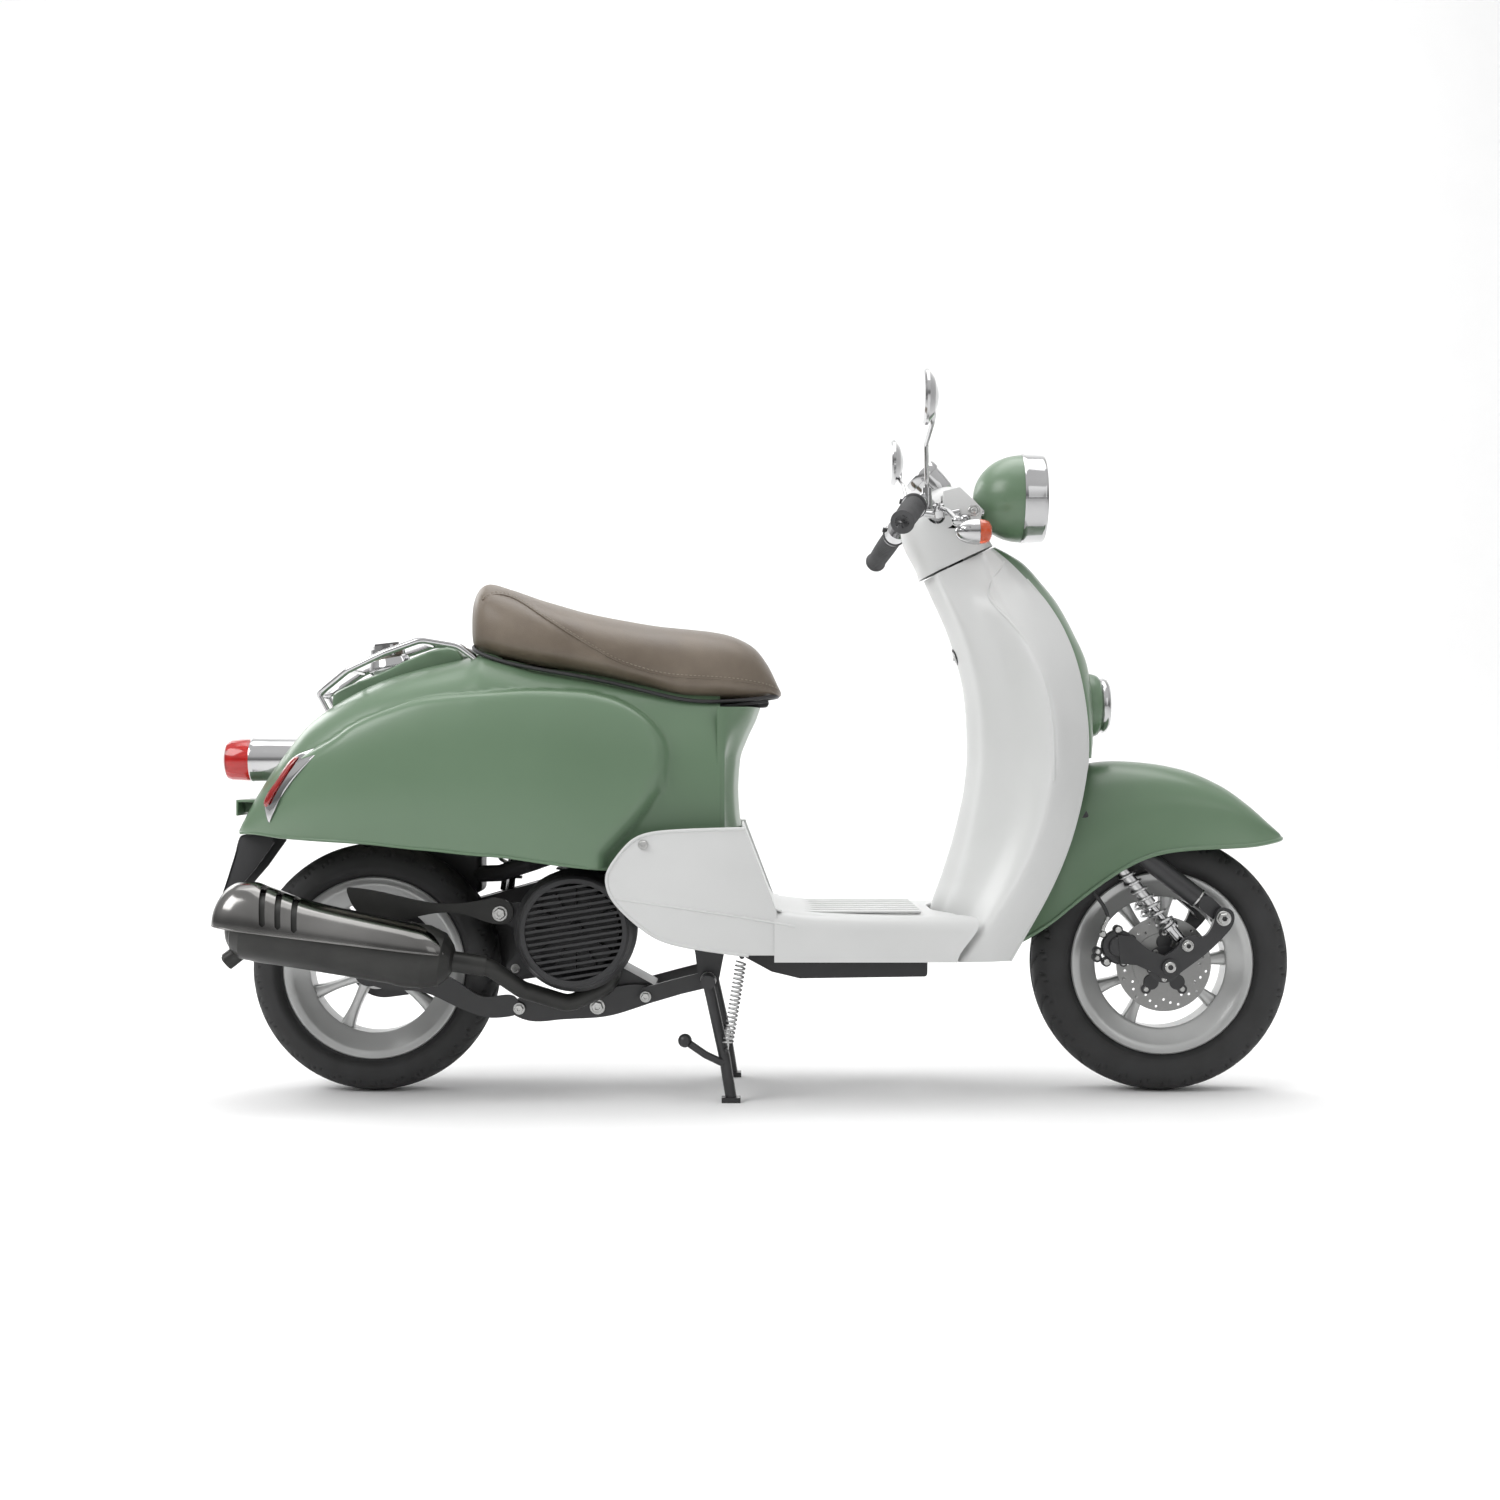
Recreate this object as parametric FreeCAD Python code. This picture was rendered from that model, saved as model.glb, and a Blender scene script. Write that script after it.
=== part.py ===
"""Retro moped scooter: 3.0 kW class step-through with pressed body panels, trailing-link fork and swinging engine.

Row frame: millimetres, +X forward, +Y left, +Z up. The origin is on the ground, under the middle of the
overall length, on the scooter's centre plane. The scooter stands on both tyres and on its centre stand.
"""

import FreeCAD
import Part

import math
import os

# ---- driving dimensions -------------------------------------------------------------------------------
FRONT_AXLE = (663.0, 211.0)          # x, z
REAR_AXLE = (-624.0, 203.0)
FRONT_TYRE_R = 211.0
REAR_TYRE_R = 203.0
TYRE_HALF_W = 50.0
RIM_FLANGE_R = 149.0
BEAD_SEAT_R = 136.5
HEAD_ANGLE = 25.3                    # steering axis, degrees back from the vertical
HEAD_POINT = (330.0, 865.0)          # where the axis meets the split under the handlebar cover
LINK_PIVOT = (750.0, 289.0)          # trailing link on the fork
FRONT_SHOCK_LOW = (693.0, 245.0)
FRONT_SHOCK_TOP = (570.0, 392.0)
FRONT_SHOCK_Y = 68.0
ENGINE_PIVOT = (-178.0, 162.0)
REAR_SHOCK_LOW = (-425.0, 310.0)
REAR_SHOCK_TOP = (-390.0, 560.0)
REAR_SHOCK_Y = 106.0
CRANK = (-288.0, 272.0)
CLUTCH = (-560.0, 216.0)
STAND_PIVOT = (-77.0, 190.0)
SEAT_HINGE = (14.0, 636.0)
GRIP_INNER = (243.7, 215.0, 936.8)   # left grip; the right one is mirrored
GRIP_OUTER = (217.0, 335.0, 898.5)
LEVER_PIVOT = (283.0, 203.0, 936.0)
LEVER_BALL = (299.0, 330.0, 901.0)
MIRROR_BASE = (266.0, 186.0, 962.0)
MIRROR_HEAD = (256.0, 355.0, 1082.0)
LAMP_Z = 973.5                       # headlamp centre height
TAIL_LAMP_Z = 542.5
REAR_END = -874.0
WALL = 3.0                           # moulded panel thickness
RUN = 0.05                           # radial clearance of a running fit

VEC = FreeCAD.Vector
PARTS = {}


# ---- small builders -----------------------------------------------------------------------------------
def box(x0, y0, z0, x1, y1, z1):
    return Part.makeBox(x1 - x0, y1 - y0, z1 - z0, VEC(x0, y0, z0))


def rod(start, end, radius):
    """A round bar between two points."""
    a, b = VEC(*start), VEC(*end)
    return Part.makeCylinder(radius, (b - a).Length, a, b - a)


def drum(xz, y0, y1, radius):
    """A cylinder across the scooter, centred on xz."""
    return Part.makeCylinder(radius, y1 - y0, VEC(xz[0], y0, xz[1]), VEC(0, 1, 0))


def ring(xz, y0, y1, outer, inner):
    return drum(xz, y0, y1, outer).cut(drum(xz, y0 - 1, y1 + 1, inner))


def mirror_y(shape):
    return shape.mirror(VEC(0, 0, 0), VEC(0, 1, 0))


def pair(shape):
    """The shape and its mirror image, as two solids."""
    return Part.makeCompound([shape, mirror_y(shape)])


def fuse(*shapes):
    out = shapes[0].multiFuse(list(shapes[1:])) if len(shapes) > 1 else shapes[0]
    return out.removeSplitter()


def spline(points, closed=False):
    curve = Part.BSplineCurve()
    curve.interpolate([VEC(*p) for p in points], PeriodicFlag=closed)
    return curve.toShape()


def face_xz(points, y):
    """A flat face in the XZ plane from a polygon of (x, z)."""
    ring_points = [VEC(x, y, z) for x, z in points]
    return Part.Face(Part.makePolygon(ring_points + ring_points[:1]))


def plate(points, y0, y1):
    """A polygon of (x, z) made y0 to y1 thick."""
    return face_xz(points, y0).extrude(VEC(0, y1 - y0, 0))


def blob(points, y0, y1):
    """A smooth closed outline through (x, z) points, made y0 to y1 thick."""
    edge = spline([(x, y0, z) for x, z in points], closed=True)
    return Part.Face(Part.Wire(edge)).extrude(VEC(0, y1 - y0, 0))


def stadium(a, b, ra, rb, y0, y1):
    """Two round ends joined by tangent flanks, like a belt around two pulleys."""
    dx, dz = b[0] - a[0], b[1] - a[1]
    length = math.hypot(dx, dz)
    lean = math.acos((ra - rb) / length)
    turn = math.atan2(dz, dx)
    flank = []
    for centre, radius, sign in ((a, ra, 1), (b, rb, 1), (b, rb, -1), (a, ra, -1)):
        angle = turn + sign * lean
        flank.append((centre[0] + radius * math.cos(angle), centre[1] + radius * math.sin(angle)))
    return fuse(plate(flank, y0, y1), drum(a, y0, y1, ra), drum(b, y0, y1, rb))


def bent_path(points, bend):
    """Straight runs joined by tangent arcs of radius bend."""
    pts = [VEC(*p) for p in points]
    edges, start = [], pts[0]
    for i in range(1, len(pts) - 1):
        back = (pts[i - 1] - pts[i]).normalize()
        ahead = (pts[i + 1] - pts[i]).normalize()
        half = (math.pi - back.getAngle(ahead)) / 2
        if half < 0.01:
            continue
        room = 0.48 * min((pts[i - 1] - pts[i]).Length, (pts[i + 1] - pts[i]).Length)
        radius = min(bend, room / math.tan(half))
        cut = radius * math.tan(half)
        p, q = pts[i] + back * cut, pts[i] + ahead * cut
        bisector = (back + ahead).normalize()
        middle = pts[i] + bisector * (radius / math.cos(half) - radius)
        if (p - start).Length > 1e-3:
            edges.append(Part.LineSegment(start, p).toShape())
        edges.append(Part.Arc(p, middle, q).toShape())
        start = q
    edges.append(Part.LineSegment(start, pts[-1]).toShape())
    return Part.Wire(edges)


def tube(points, radius, bend=30.0, bore=0.0):
    """A round tube swept along bent_path(points)."""
    path = bent_path(points, bend)
    start = VEC(*points[0])
    direction = VEC(*points[1]) - start

    def swept(r):
        circle = Part.Wire(Part.makeCircle(r, start, direction))
        return path.makePipeShell([circle], True, True)

    solid = swept(radius)
    return solid.cut(swept(bore)) if bore else solid


def turned(profile, origin, axis, angle=360.0):
    """A profile of (distance along axis, radius) turned about the axis through origin."""
    axis = VEC(*axis).normalize()
    side = axis.cross(VEC(0, 1, 0) if abs(axis.y) < 0.9 else VEC(1, 0, 0)).normalize()
    base = VEC(*origin)
    pts = [base + axis * d + side * r for d, r in profile]
    return Part.Face(Part.makePolygon(pts + pts[:1])).revolve(base, axis, angle)


def loft(wires):
    return Part.makeLoft(wires, True, False)


def thin_wire(points, wall, place):
    """A closed wire around a curved wall: the points, and the same points moved inwards by the wall."""
    inner = []
    count = len(points)
    for i, (u, v) in enumerate(points):
        before, after = points[max(i - 1, 0)], points[min(i + 1, count - 1)]
        du, dv = after[0] - before[0], after[1] - before[1]
        length = math.hypot(du, dv)
        inner.append((u - dv / length * wall, v + du / length * wall))
    out = [place(u, v) for u, v in points]
    back = [place(u, v) for u, v in reversed(inner)]
    return Part.Wire([
        spline(out), Part.makePolygon([VEC(*out[-1]), VEC(*back[0])]).Edges[0],
        spline(back), Part.makePolygon([VEC(*back[-1]), VEC(*out[0])]).Edges[0],
    ])


def table_value(rows, x, column):
    """Straight-line interpolation in a table of rows sorted by their first value."""
    if x <= rows[0][0]:
        return rows[0][column]
    for low, high in zip(rows, rows[1:]):
        if x <= high[0]:
            share = (x - low[0]) / (high[0] - low[0])
            return low[column] + share * (high[column] - low[column])
    return rows[-1][column]


def arch(x, top, half_width, widest_z, bottom, foot_half_width, roundness=2.4):
    """A closed YZ section: a round-shouldered arch over a flat foot."""
    side = []
    for step in range(0, 7):
        angle = math.radians(15 * step)
        y = half_width * math.sin(angle) ** (2 / roundness)
        z = widest_z + (top - widest_z) * math.cos(angle) ** (2 / roundness)
        side.append((y, z))
    side.append(((half_width + foot_half_width) / 2 + 1.0, (widest_z + bottom) / 2))
    side.append((foot_half_width, bottom))
    over = [(-y, z) for y, z in reversed(side)] + side[1:]
    points = [(x, y, z) for y, z in over]
    return Part.Wire([spline(points), Part.makePolygon([VEC(*points[-1]), VEC(*points[0])]).Edges[0]])


def on_steering(shape):
    """Carries a shape built about a vertical axis through the origin onto the steering axis."""
    out = shape.copy()
    out.rotate(VEC(0, 0, 0), VEC(0, 1, 0), -HEAD_ANGLE)
    out.translate(VEC(HEAD_POINT[0], 0, HEAD_POINT[1]))
    return out


def steering_point(ahead, up):
    """The (x, z) of a point given in steering coordinates."""
    c, s = math.cos(math.radians(HEAD_ANGLE)), math.sin(math.radians(HEAD_ANGLE))
    return HEAD_POINT[0] + ahead * c - up * s, HEAD_POINT[1] + ahead * s + up * c


def along(a, b, distance):
    """The point at a distance from a towards b."""
    start, end = VEC(*a), VEC(*b)
    point = start + (end - start).normalize() * distance
    return (point.x, point.y, point.z)


def coil(start, end, radius, wire, turns):
    """A helical spring between two points."""
    a, b = VEC(*start), VEC(*end)
    height = (b - a).Length
    helix = Part.makeHelix(height / turns, height, radius)
    circle = Part.Wire(Part.makeCircle(wire, VEC(radius, 0, 0), VEC(0, 1, 0)))
    spring = Part.Wire(helix).makePipeShell([circle], True, True)
    turn = FreeCAD.Rotation(VEC(0, 0, 1), b - a)
    spring.Placement = FreeCAD.Placement(a, turn)
    return spring


# ---- body panels --------------------------------------------------------------------------------------
# x, top, half width, height of the widest point, bottom edge, half width at the bottom edge
TAIL_ROWS = [
    (-842, 434, 50, 428, 424, 48),
    (-815, 482, 84, 440, 426, 80),
    (-772, 548, 120, 462, 421, 112),
    (-716, 613, 150, 482, 418, 138),
    (-614, 668, 178, 505, 413, 164),
    (-500, 697, 193, 515, 402, 178),
    (-400, 700, 197, 515, 393, 182),
    (-290, 674, 194, 505, 376, 181),
    (-190, 646, 176, 495, 368, 170),
    (-110, 628, 148, 490, 368, 148),
    (-62, 626, 126, 490, 372, 128),
]


def body_envelope(grow):
    """The rear body as a filled solid, grown outwards by grow, with an open foot when grow is negative."""
    wires = []
    for i, (x, top, half, widest, bottom, foot) in enumerate(TAIL_ROWS):
        end = grow if i == 0 else 0
        low = bottom if grow >= 0 else bottom - 30
        wires.append(arch(x - end, top + grow, half + grow, widest, low, foot + grow))
    return loft(wires)


def rear_body_panels():
    """Left and right side covers, the raised deck moulding, and the lamp inserts let into the tail."""
    shell = body_envelope(0).cut(body_envelope(-WALL))
    front_trim = box(-70, -300, 300, 100, 300, 800)
    shell = shell.cut(front_trim)
    seat_opening = blob([(-446, 0), (-430, 84), (-340, 112), (-200, 110), (-60, 108), (20, 100), (20, -100),
                         (-60, -108), (-200, -110), (-340, -112), (-430, -84)], 0, 400)
    seat_opening.rotate(VEC(0, 0, 0), VEC(1, 0, 0), 90)
    seat_opening.translate(VEC(0, 0, 560))
    lamp_hole = rod((-900, 0, TAIL_LAMP_Z), (-700, 0, TAIL_LAMP_Z), 37)
    deck_hole = box(-690, -46, 560, -478, 46, 800)
    shell = shell.cut(seat_opening).cut(lamp_hole).cut(deck_hole)
    gap = box(-900, -0.4, 300, 100, 0.4, 900)
    shell = shell.cut(gap)
    outer_skin = body_envelope(3.0).cut(body_envelope(0.3))
    signal = plate([(-678, 574), (-733, 552), (-790, 475), (-772, 443), (-735, 478), (-700, 530)], -200, 200)
    centre = box(-900, -60, 300, -600, 60, 800)
    housings = outer_skin.common(signal).cut(centre)
    lens_zone = plate([(-727, 549), (-741, 536), (-792, 477), (-785, 468), (-732, 527)], -200, 200)
    lenses = housings.common(lens_zone)
    housings = housings.cut(lens_zone)
    left = shell.common(box(-900, 0, 300, 100, 300, 900))
    right = shell.common(box(-900, -300, 300, 100, 0, 900))
    PARTS["side_cover_left"] = left
    PARTS["side_cover_right"] = right
    return housings, lenses


def rear_deck():
    """The raised moulding along the top of the tail, with the fuel neck's hole."""
    rows = [(-689, 632), (-670, 655), (-614, 684), (-545, 716), (-508, 725), (-488, 722), (-479, 712)]
    wires = []
    for x, top in rows:
        width = 45 if x < -500 else 45 - (x + 500) * 0.6
        wires.append(arch(x, top, width, top - 26, top - 44, width, 4.0))
    outer = loft(wires)
    inner_wires = []
    for x, top in rows:
        width = 45 if x < -500 else 45 - (x + 500) * 0.6
        inner_wires.append(arch(x, top - WALL, width - WALL, top - 28, top - 70, width - WALL, 4.0))
    deck = outer.cut(loft(inner_wires))
    neck = rod((-590, 0, 640), (-590 - 22, 0, 740), 30.5)
    deck = deck.cut(neck).cut(PARTS["side_cover_left"]).cut(PARTS["side_cover_right"])
    PARTS["rear_deck"] = max(deck.Solids, key=lambda s: s.Volume)


def seat_cowl():
    """The curved front of the seat tower, under the seat's nose."""
    rows = [(430, -23), (456, -27), (494, -29), (543, -26), (578, -14), (608, 0), (628, 7)]
    wires = []
    for z, front in rows:
        half = [(-61, 124), (-50, 119), (front - 22, 96), (front - 6, 62), (front, 0)]
        points = half + [(x, -y) for x, y in reversed(half[:-1])]
        wires.append(thin_wire(points, -WALL, lambda u, v, z=z: (u, v, z)))
    PARTS["seat_cowl"] = loft(wires)


# z, rear centre, column corner, corner half width, ridge, ridge half width, front edge, front half width
SHIELD_ROWS = [
    (226, 284, 300, 52, 318, 172, 402, 150),
    (262, 284, 301, 54, 342, 182, 421, 156),
    (300, 288, 306, 56, 369, 190, 443, 160),
    (350, 305, 323, 58, 399, 196, 469, 162),
    (400, 321, 338, 60, 423, 200, 490, 162),
    (450, 334, 349, 62, 440, 201, 506, 158),
    (500, 344, 357, 64, 451, 200, 518, 150),
    (550, 348, 362, 66, 457, 198, 527, 140),
    (600, 347, 361, 66, 455, 194, 527, 130),
    (650, 343, 355, 66, 446, 186, 522, 120),
    (700, 332, 344, 66, 428, 172, 512, 108),
    (750, 316, 329, 64, 404, 146, 493, 94),
    (800, 294, 309, 60, 381, 112, 463, 78),
    (835, 276, 293, 56, 372, 84, 432, 60),
    (862, 268, 285, 50, 372, 62, 405, 48),
]


def shield_section(row):
    """Plan outline of the shield at one height, from the left front edge around the rider's side to the right."""
    z, rear, corner, corner_y, ridge, ridge_y, front, front_y = row
    mid = ((corner + ridge) / 2 + 6, (corner_y + ridge_y) / 2)
    flank = ((ridge + front) / 2 + 4, (ridge_y + front_y) / 2 + 6)
    half = [(front, front_y), flank, (ridge + 7, ridge_y - 2), (ridge, ridge_y - 9), mid,
            (corner + 4, corner_y + 8), (corner - 2, corner_y - 14), (rear, 0)]
    return half + [(x, -y) for x, y in reversed(half[:-1])]


def shield_envelope(back):
    """The space taken up by the foot of the shield, grown backwards."""
    wires = []
    for row in SHIELD_ROWS:
        points = [VEC(x - back, y * 1.004, row[0]) for x, y in shield_section(row)]
        closing = Part.makePolygon([points[-1], points[0]]).Edges[0]
        wires.append(Part.Wire([spline(points), closing]))
    return loft(wires)


def leg_shield():
    """The white shield: a column towards the rider, wings swept out to a ridge, and flanks turned in to the front."""
    wires = [thin_wire(shield_section(row), WALL, lambda u, v, z=row[0]: (u, v, z)) for row in SHIELD_ROWS]
    shield = loft(wires)
    above_split = on_steering(box(-300, -300, -2.0, 300, 300, 400))
    lock_hole = rod((300, 0, 700), (380, 0, 728), 13)
    tube_notch = box(250, -23, 200, 330, 23, 285)
    PARTS["leg_shield"] = shield.cut(above_split).cut(lock_hole).cut(tube_notch)


def front_cover():
    """The coloured centre panel of the shield, and the horn in its round bezel."""
    rows = [(546, 527, 138, 549), (575, 528, 134, 553), (620, 526, 125, 554), (660, 521, 117, 551), (700, 512, 107, 544),
            (750, 493, 93, 525), (800, 463, 77, 498), (835, 432, 59, 473), (866, 403, 46, 446), (884, 380, 34, 420)]
    wires = []
    for z, edge, half_y, front in rows:
        half = [(edge - 6, half_y - 7), (edge + 5, half_y - 14), (front - 7, half_y * 0.5), (front, 0)]
        points = half + [(x, -y) for x, y in reversed(half[:-1])]
        wires.append(thin_wire(points, -WALL, lambda u, v, z=z: (u, v, z)))
    horn_z = 629.0
    cover = loft(wires).cut(rod((500, 0, horn_z), (600, 0, horn_z), 36))
    under_bars = on_steering(box(-300, -300, -1.0, 300, 300, 400))
    PARTS["front_cover"] = cover.cut(under_bars)
    bezel = turned([(0, 24), (0, 39), (4, 47), (12, 50), (24, 46), (28, 40), (28, 30), (6, 24)],
                   (550, 0, horn_z), (1, 0, 0)).cut(rod((500, 0, horn_z), (551.5, 0, horn_z), 60))
    bezel = bezel.cut(cover)
    disc = turned([(2, 0), (2, 35.5), (8, 35.5), (10, 0)], (548, 0, horn_z), (1, 0, 0))
    grille = rod((532, 0, horn_z), (550, 0, horn_z), 35)
    PARTS["horn"] = fuse(bezel, disc, grille)


def floor_board():
    """Footrest with side skirts, the riser to the seat tower, and the flat ears over the engine."""
    wires = []
    for x, rim in ((28, 309), (110, 300), (230, 298), (340, 300)):
        half = [(-187, 226), (-190, 256), (-190, 278), (-181, rim - 4), (-160, rim), (-80, rim), (0, rim)]
        points = half + [(-y, z) for y, z in reversed(half[:-1])]
        wires.append(thin_wire(points, -WALL, lambda u, v, x=x: (x, u, v)))
    deck = loft(wires)
    riser = plate([(-22, 436), (-18, 436), (31, 311), (31, 304), (26, 304)], -183, 183)
    ear_outline = [(-17, 436), (-168, 431), (-187, 424), (-204, 407), (-225, 381), (-235, 367), (-234, 350),
                   (-228, 326), (-199, 297), (-168, 271), (-142, 257), (-84, 247), (-12, 238), (0, 238), (34, 306)]
    ear = plate(ear_outline, 184, 187.5)
    skirt = box(-12, 184, 238, 34, 187.5, 309)
    floor = fuse(deck, riser, ear, mirror_y(ear), skirt, mirror_y(skirt))
    floor = floor.cut(shield_envelope(0.3))
    PARTS["floor_board"] = Part.makeCompound([floor, belly_pan()])


def belly_pan():
    """The shallow tray that closes the frame from below."""
    outline = [(-21, 240), (-21, 224), (25, 199), (71, 188), (278, 191), (279, 240)]
    inside = [(-18, 250), (-18, 226), (26, 203), (71, 191.5), (275, 194.5), (276, 250)]
    return plate(outline, -62, 62).cut(plate(inside, -59.5, 59.5))


def rear_mudguard():
    outline = [(-792, 418), (-840, 418), (-866, 326), (-862, 322), (-836, 410), (-792, 414)]
    guard = plate(outline, -46, 46)
    flange = plate([(-792, 418), (-840, 418), (-866, 326), (-850, 326), (-800, 380), (-780, 412)], 43, 46)
    return fuse(guard, flange, mirror_y(flange))


def tail_lamps(housings, lenses):
    """Round tail lamp on a plated barrel, plus the inserts let into both flanks of the tail."""
    barrel = rod((-829, 0, TAIL_LAMP_Z), (-742, 0, TAIL_LAMP_Z), 36)
    barrel = barrel.cut(rod((-826, 0, TAIL_LAMP_Z), (-745, 0, TAIL_LAMP_Z), 33.5))
    lens = turned([(0, 0), (0, 24), (3, 30), (8, 33.5), (44.5, 34.5), (44.5, 0)], (REAR_END, 0, TAIL_LAMP_Z), (1, 0, 0))
    PARTS["rear_lamp_housings"] = Part.makeCompound([barrel] + housings.Solids)
    PARTS["rear_lamp_lenses"] = Part.makeCompound([lens] + lenses.Solids)
    bracket = fuse(box(-846, -52, 452, -842.5, 52, 478), box(-846, -52, 474.5, -812, 52, 478),
                   box(-846, -9, 460, -826, 9, 478))
    for y in (-30, 30):
        bracket = bracket.cut(rod((-860, y, 465), (-830, y, 465), 3.25))
    bracket = bracket.cut(PARTS["side_cover_left"]).cut(PARTS["side_cover_right"])
    PARTS["rear_mudguard"] = Part.makeCompound([rear_mudguard(), bracket])


def luggage_rack():
    """Plated tube loop over the tail with three cross bars."""
    side = [(-452, 84, 706), (-480, 84, 727), (-540, 82, 737), (-600, 78, 716), (-661, 70, 688), (-716, 44, 648),
            (-716, -44, 648), (-661, -70, 688), (-600, -78, 716), (-540, -82, 737), (-480, -84, 727), (-452, -84, 706)]
    loop = tube(side, 5.5, 40)
    bars = [rod((x, -y, z), (x, y, z), 4.0) for x, y, z in ((-545, 82, 735.5), (-660, 70.5, 688.5))]
    legs = [rod((-712, y, 646), (-697, y, 618), 4.0) for y in (-36, 36)]
    rack = fuse(loop, *bars, *legs)
    PARTS["luggage_rack"] = rack.cut(body_envelope(0.2))


# ---- frame --------------------------------------------------------------------------------------------
def main_frame():
    """Tube frame: head tube, down tube, floor rails, seat rails, stand and engine brackets, seat hinge."""
    head = on_steering(Part.makeCylinder(25, 170, VEC(0, 0, -285)))
    spine_bottom = (300, 0, 262)
    spine = tube([(405, 0, 690), (386, 0, 560), (378, 0, 460), (330, 0, 330), spine_bottom, (255, 0, 262)], 19, 70)
    cross_front = rod((268, -74, 262), (268, 74, 262), 14)
    rail = tube([(268, 74, 262), (-30, 74, 262), (-88, 98, 380), (-150, 112, 500), (-250, 116, 575), (-430, 116, 610),
                 (-640, 78, 600)], 12, 60)
    cross_rear = rod((-636, -79, 600), (-636, 79, 600), 10)
    cross_mid = rod((-98, -98, 398), (-98, 98, 398), 11)
    bracket = plate([(-106, 272), (-40, 272), (-52, 230), (-62, 178), (-92, 178), (-98, 230)], 78, 84)
    arm = plate([(-66, 206), (-60, 190), (-70, 178), (-120, 166), (-178, 149), (-192, 158), (-182, 176), (-130, 190)], 78, 84)
    boss = drum(STAND_PIVOT, 60, 84, 13)
    pivot_cross = drum(STAND_PIVOT, -84, 84, 11)
    shock_lug = box(-405, REAR_SHOCK_Y - 13, 552, -375, REAR_SHOCK_Y + 13, 608)
    shock_slot = box(-415, REAR_SHOCK_Y - 9.5, 530, -365, REAR_SHOCK_Y + 9.5, 578)
    shock_pin = drum(REAR_SHOCK_TOP, REAR_SHOCK_Y - 13, REAR_SHOCK_Y + 13, 5)
    shock_lug = fuse(shock_lug.cut(shock_slot), shock_pin)
    hinge_bar = box(-78, 18, 629, 12, 24, 632.5)
    hinge_ear = fuse(hinge_bar, drum(SEAT_HINGE, 18, 24, 6), box(2, 18, 629, 14, 24, 636))
    tower = tube([(-72, 21, 631), (-78, 30, 600), (-84, 60, 470), (-98, 72, 398)], 5, 25)
    hinge_pin = drum(SEAT_HINGE, -24, 24, 3.5)
    spring_hook = tube([(4, 78, 258), (-18, 120, 240), (-23, 145, 232)], 4, 12)
    frame = fuse(head, spine, cross_front, rail, mirror_y(rail), cross_rear, cross_mid, bracket, mirror_y(bracket),
                 arm, mirror_y(arm), boss, mirror_y(boss), pivot_cross, shock_lug, hinge_ear, mirror_y(hinge_ear),
                 tower, mirror_y(tower), hinge_pin, mirror_y(spring_hook))
    stem_bore = on_steering(Part.makeCylinder(15 + RUN, 400, VEC(0, 0, -400)))
    frame = frame.cut(stem_bore)
    engine_pin = drum(ENGINE_PIVOT, -84, 84, 6)
    PARTS["main_frame"] = fuse(frame, engine_pin)


def storage_and_tank():
    """Open bucket under the seat, and the fuel tank behind it with its filler neck."""
    bucket = box(-352, -94, 482, -130, 94, 628).cut(box(-348.5, -90.5, 485.5, -133.5, 90.5, 640))
    PARTS["storage_box"] = bucket
    tank = box(-682, -62, 478, -446, 62, 585)
    neck_top = (-607, 0, 713)
    neck = rod((-592, 0, 580), neck_top, 22)
    tank = fuse(tank.makeFillet(14, tank.Edges), neck)
    hollow = box(-678, -58, 482, -450, 58, 581)
    cavity = fuse(hollow.makeFillet(10, hollow.Edges), rod((-592, 0, 570), (-607.2, 0, 715), 19))
    PARTS["fuel_tank"] = tank.cut(cavity)
    cap_base = VEC(-607, 0, 713.5)
    axis = VEC(-15, 0, 133).normalize()
    cap = Part.makeCylinder(28, 12, cap_base, axis)
    cap = fuse(cap, Part.makeCylinder(23, 6, cap_base + axis * 12, axis))
    bar = Part.makeBox(40, 7, 5, VEC(-20, -3.5, 0))
    bar.Placement = FreeCAD.Placement(cap_base + axis * 17, FreeCAD.Rotation(VEC(0, 0, 1), axis))
    PARTS["fuel_cap"] = fuse(cap, bar)


# ---- seat ---------------------------------------------------------------------------------------------
# x, top, half width, bottom
SEAT_ROWS = [
    (-461, 790, 62, 733), (-452, 822, 92, 716), (-434, 831, 112, 712), (-400, 821, 128, 697), (-340, 800, 137, 685),
    (-260, 779, 138, 672), (-180, 764, 132, 653), (-110, 757, 122, 634), (-50, 750, 106, 634), (-6, 729, 84, 639),
    (20, 696, 62, 643), (40, 656, 34, 646),
]


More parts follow.
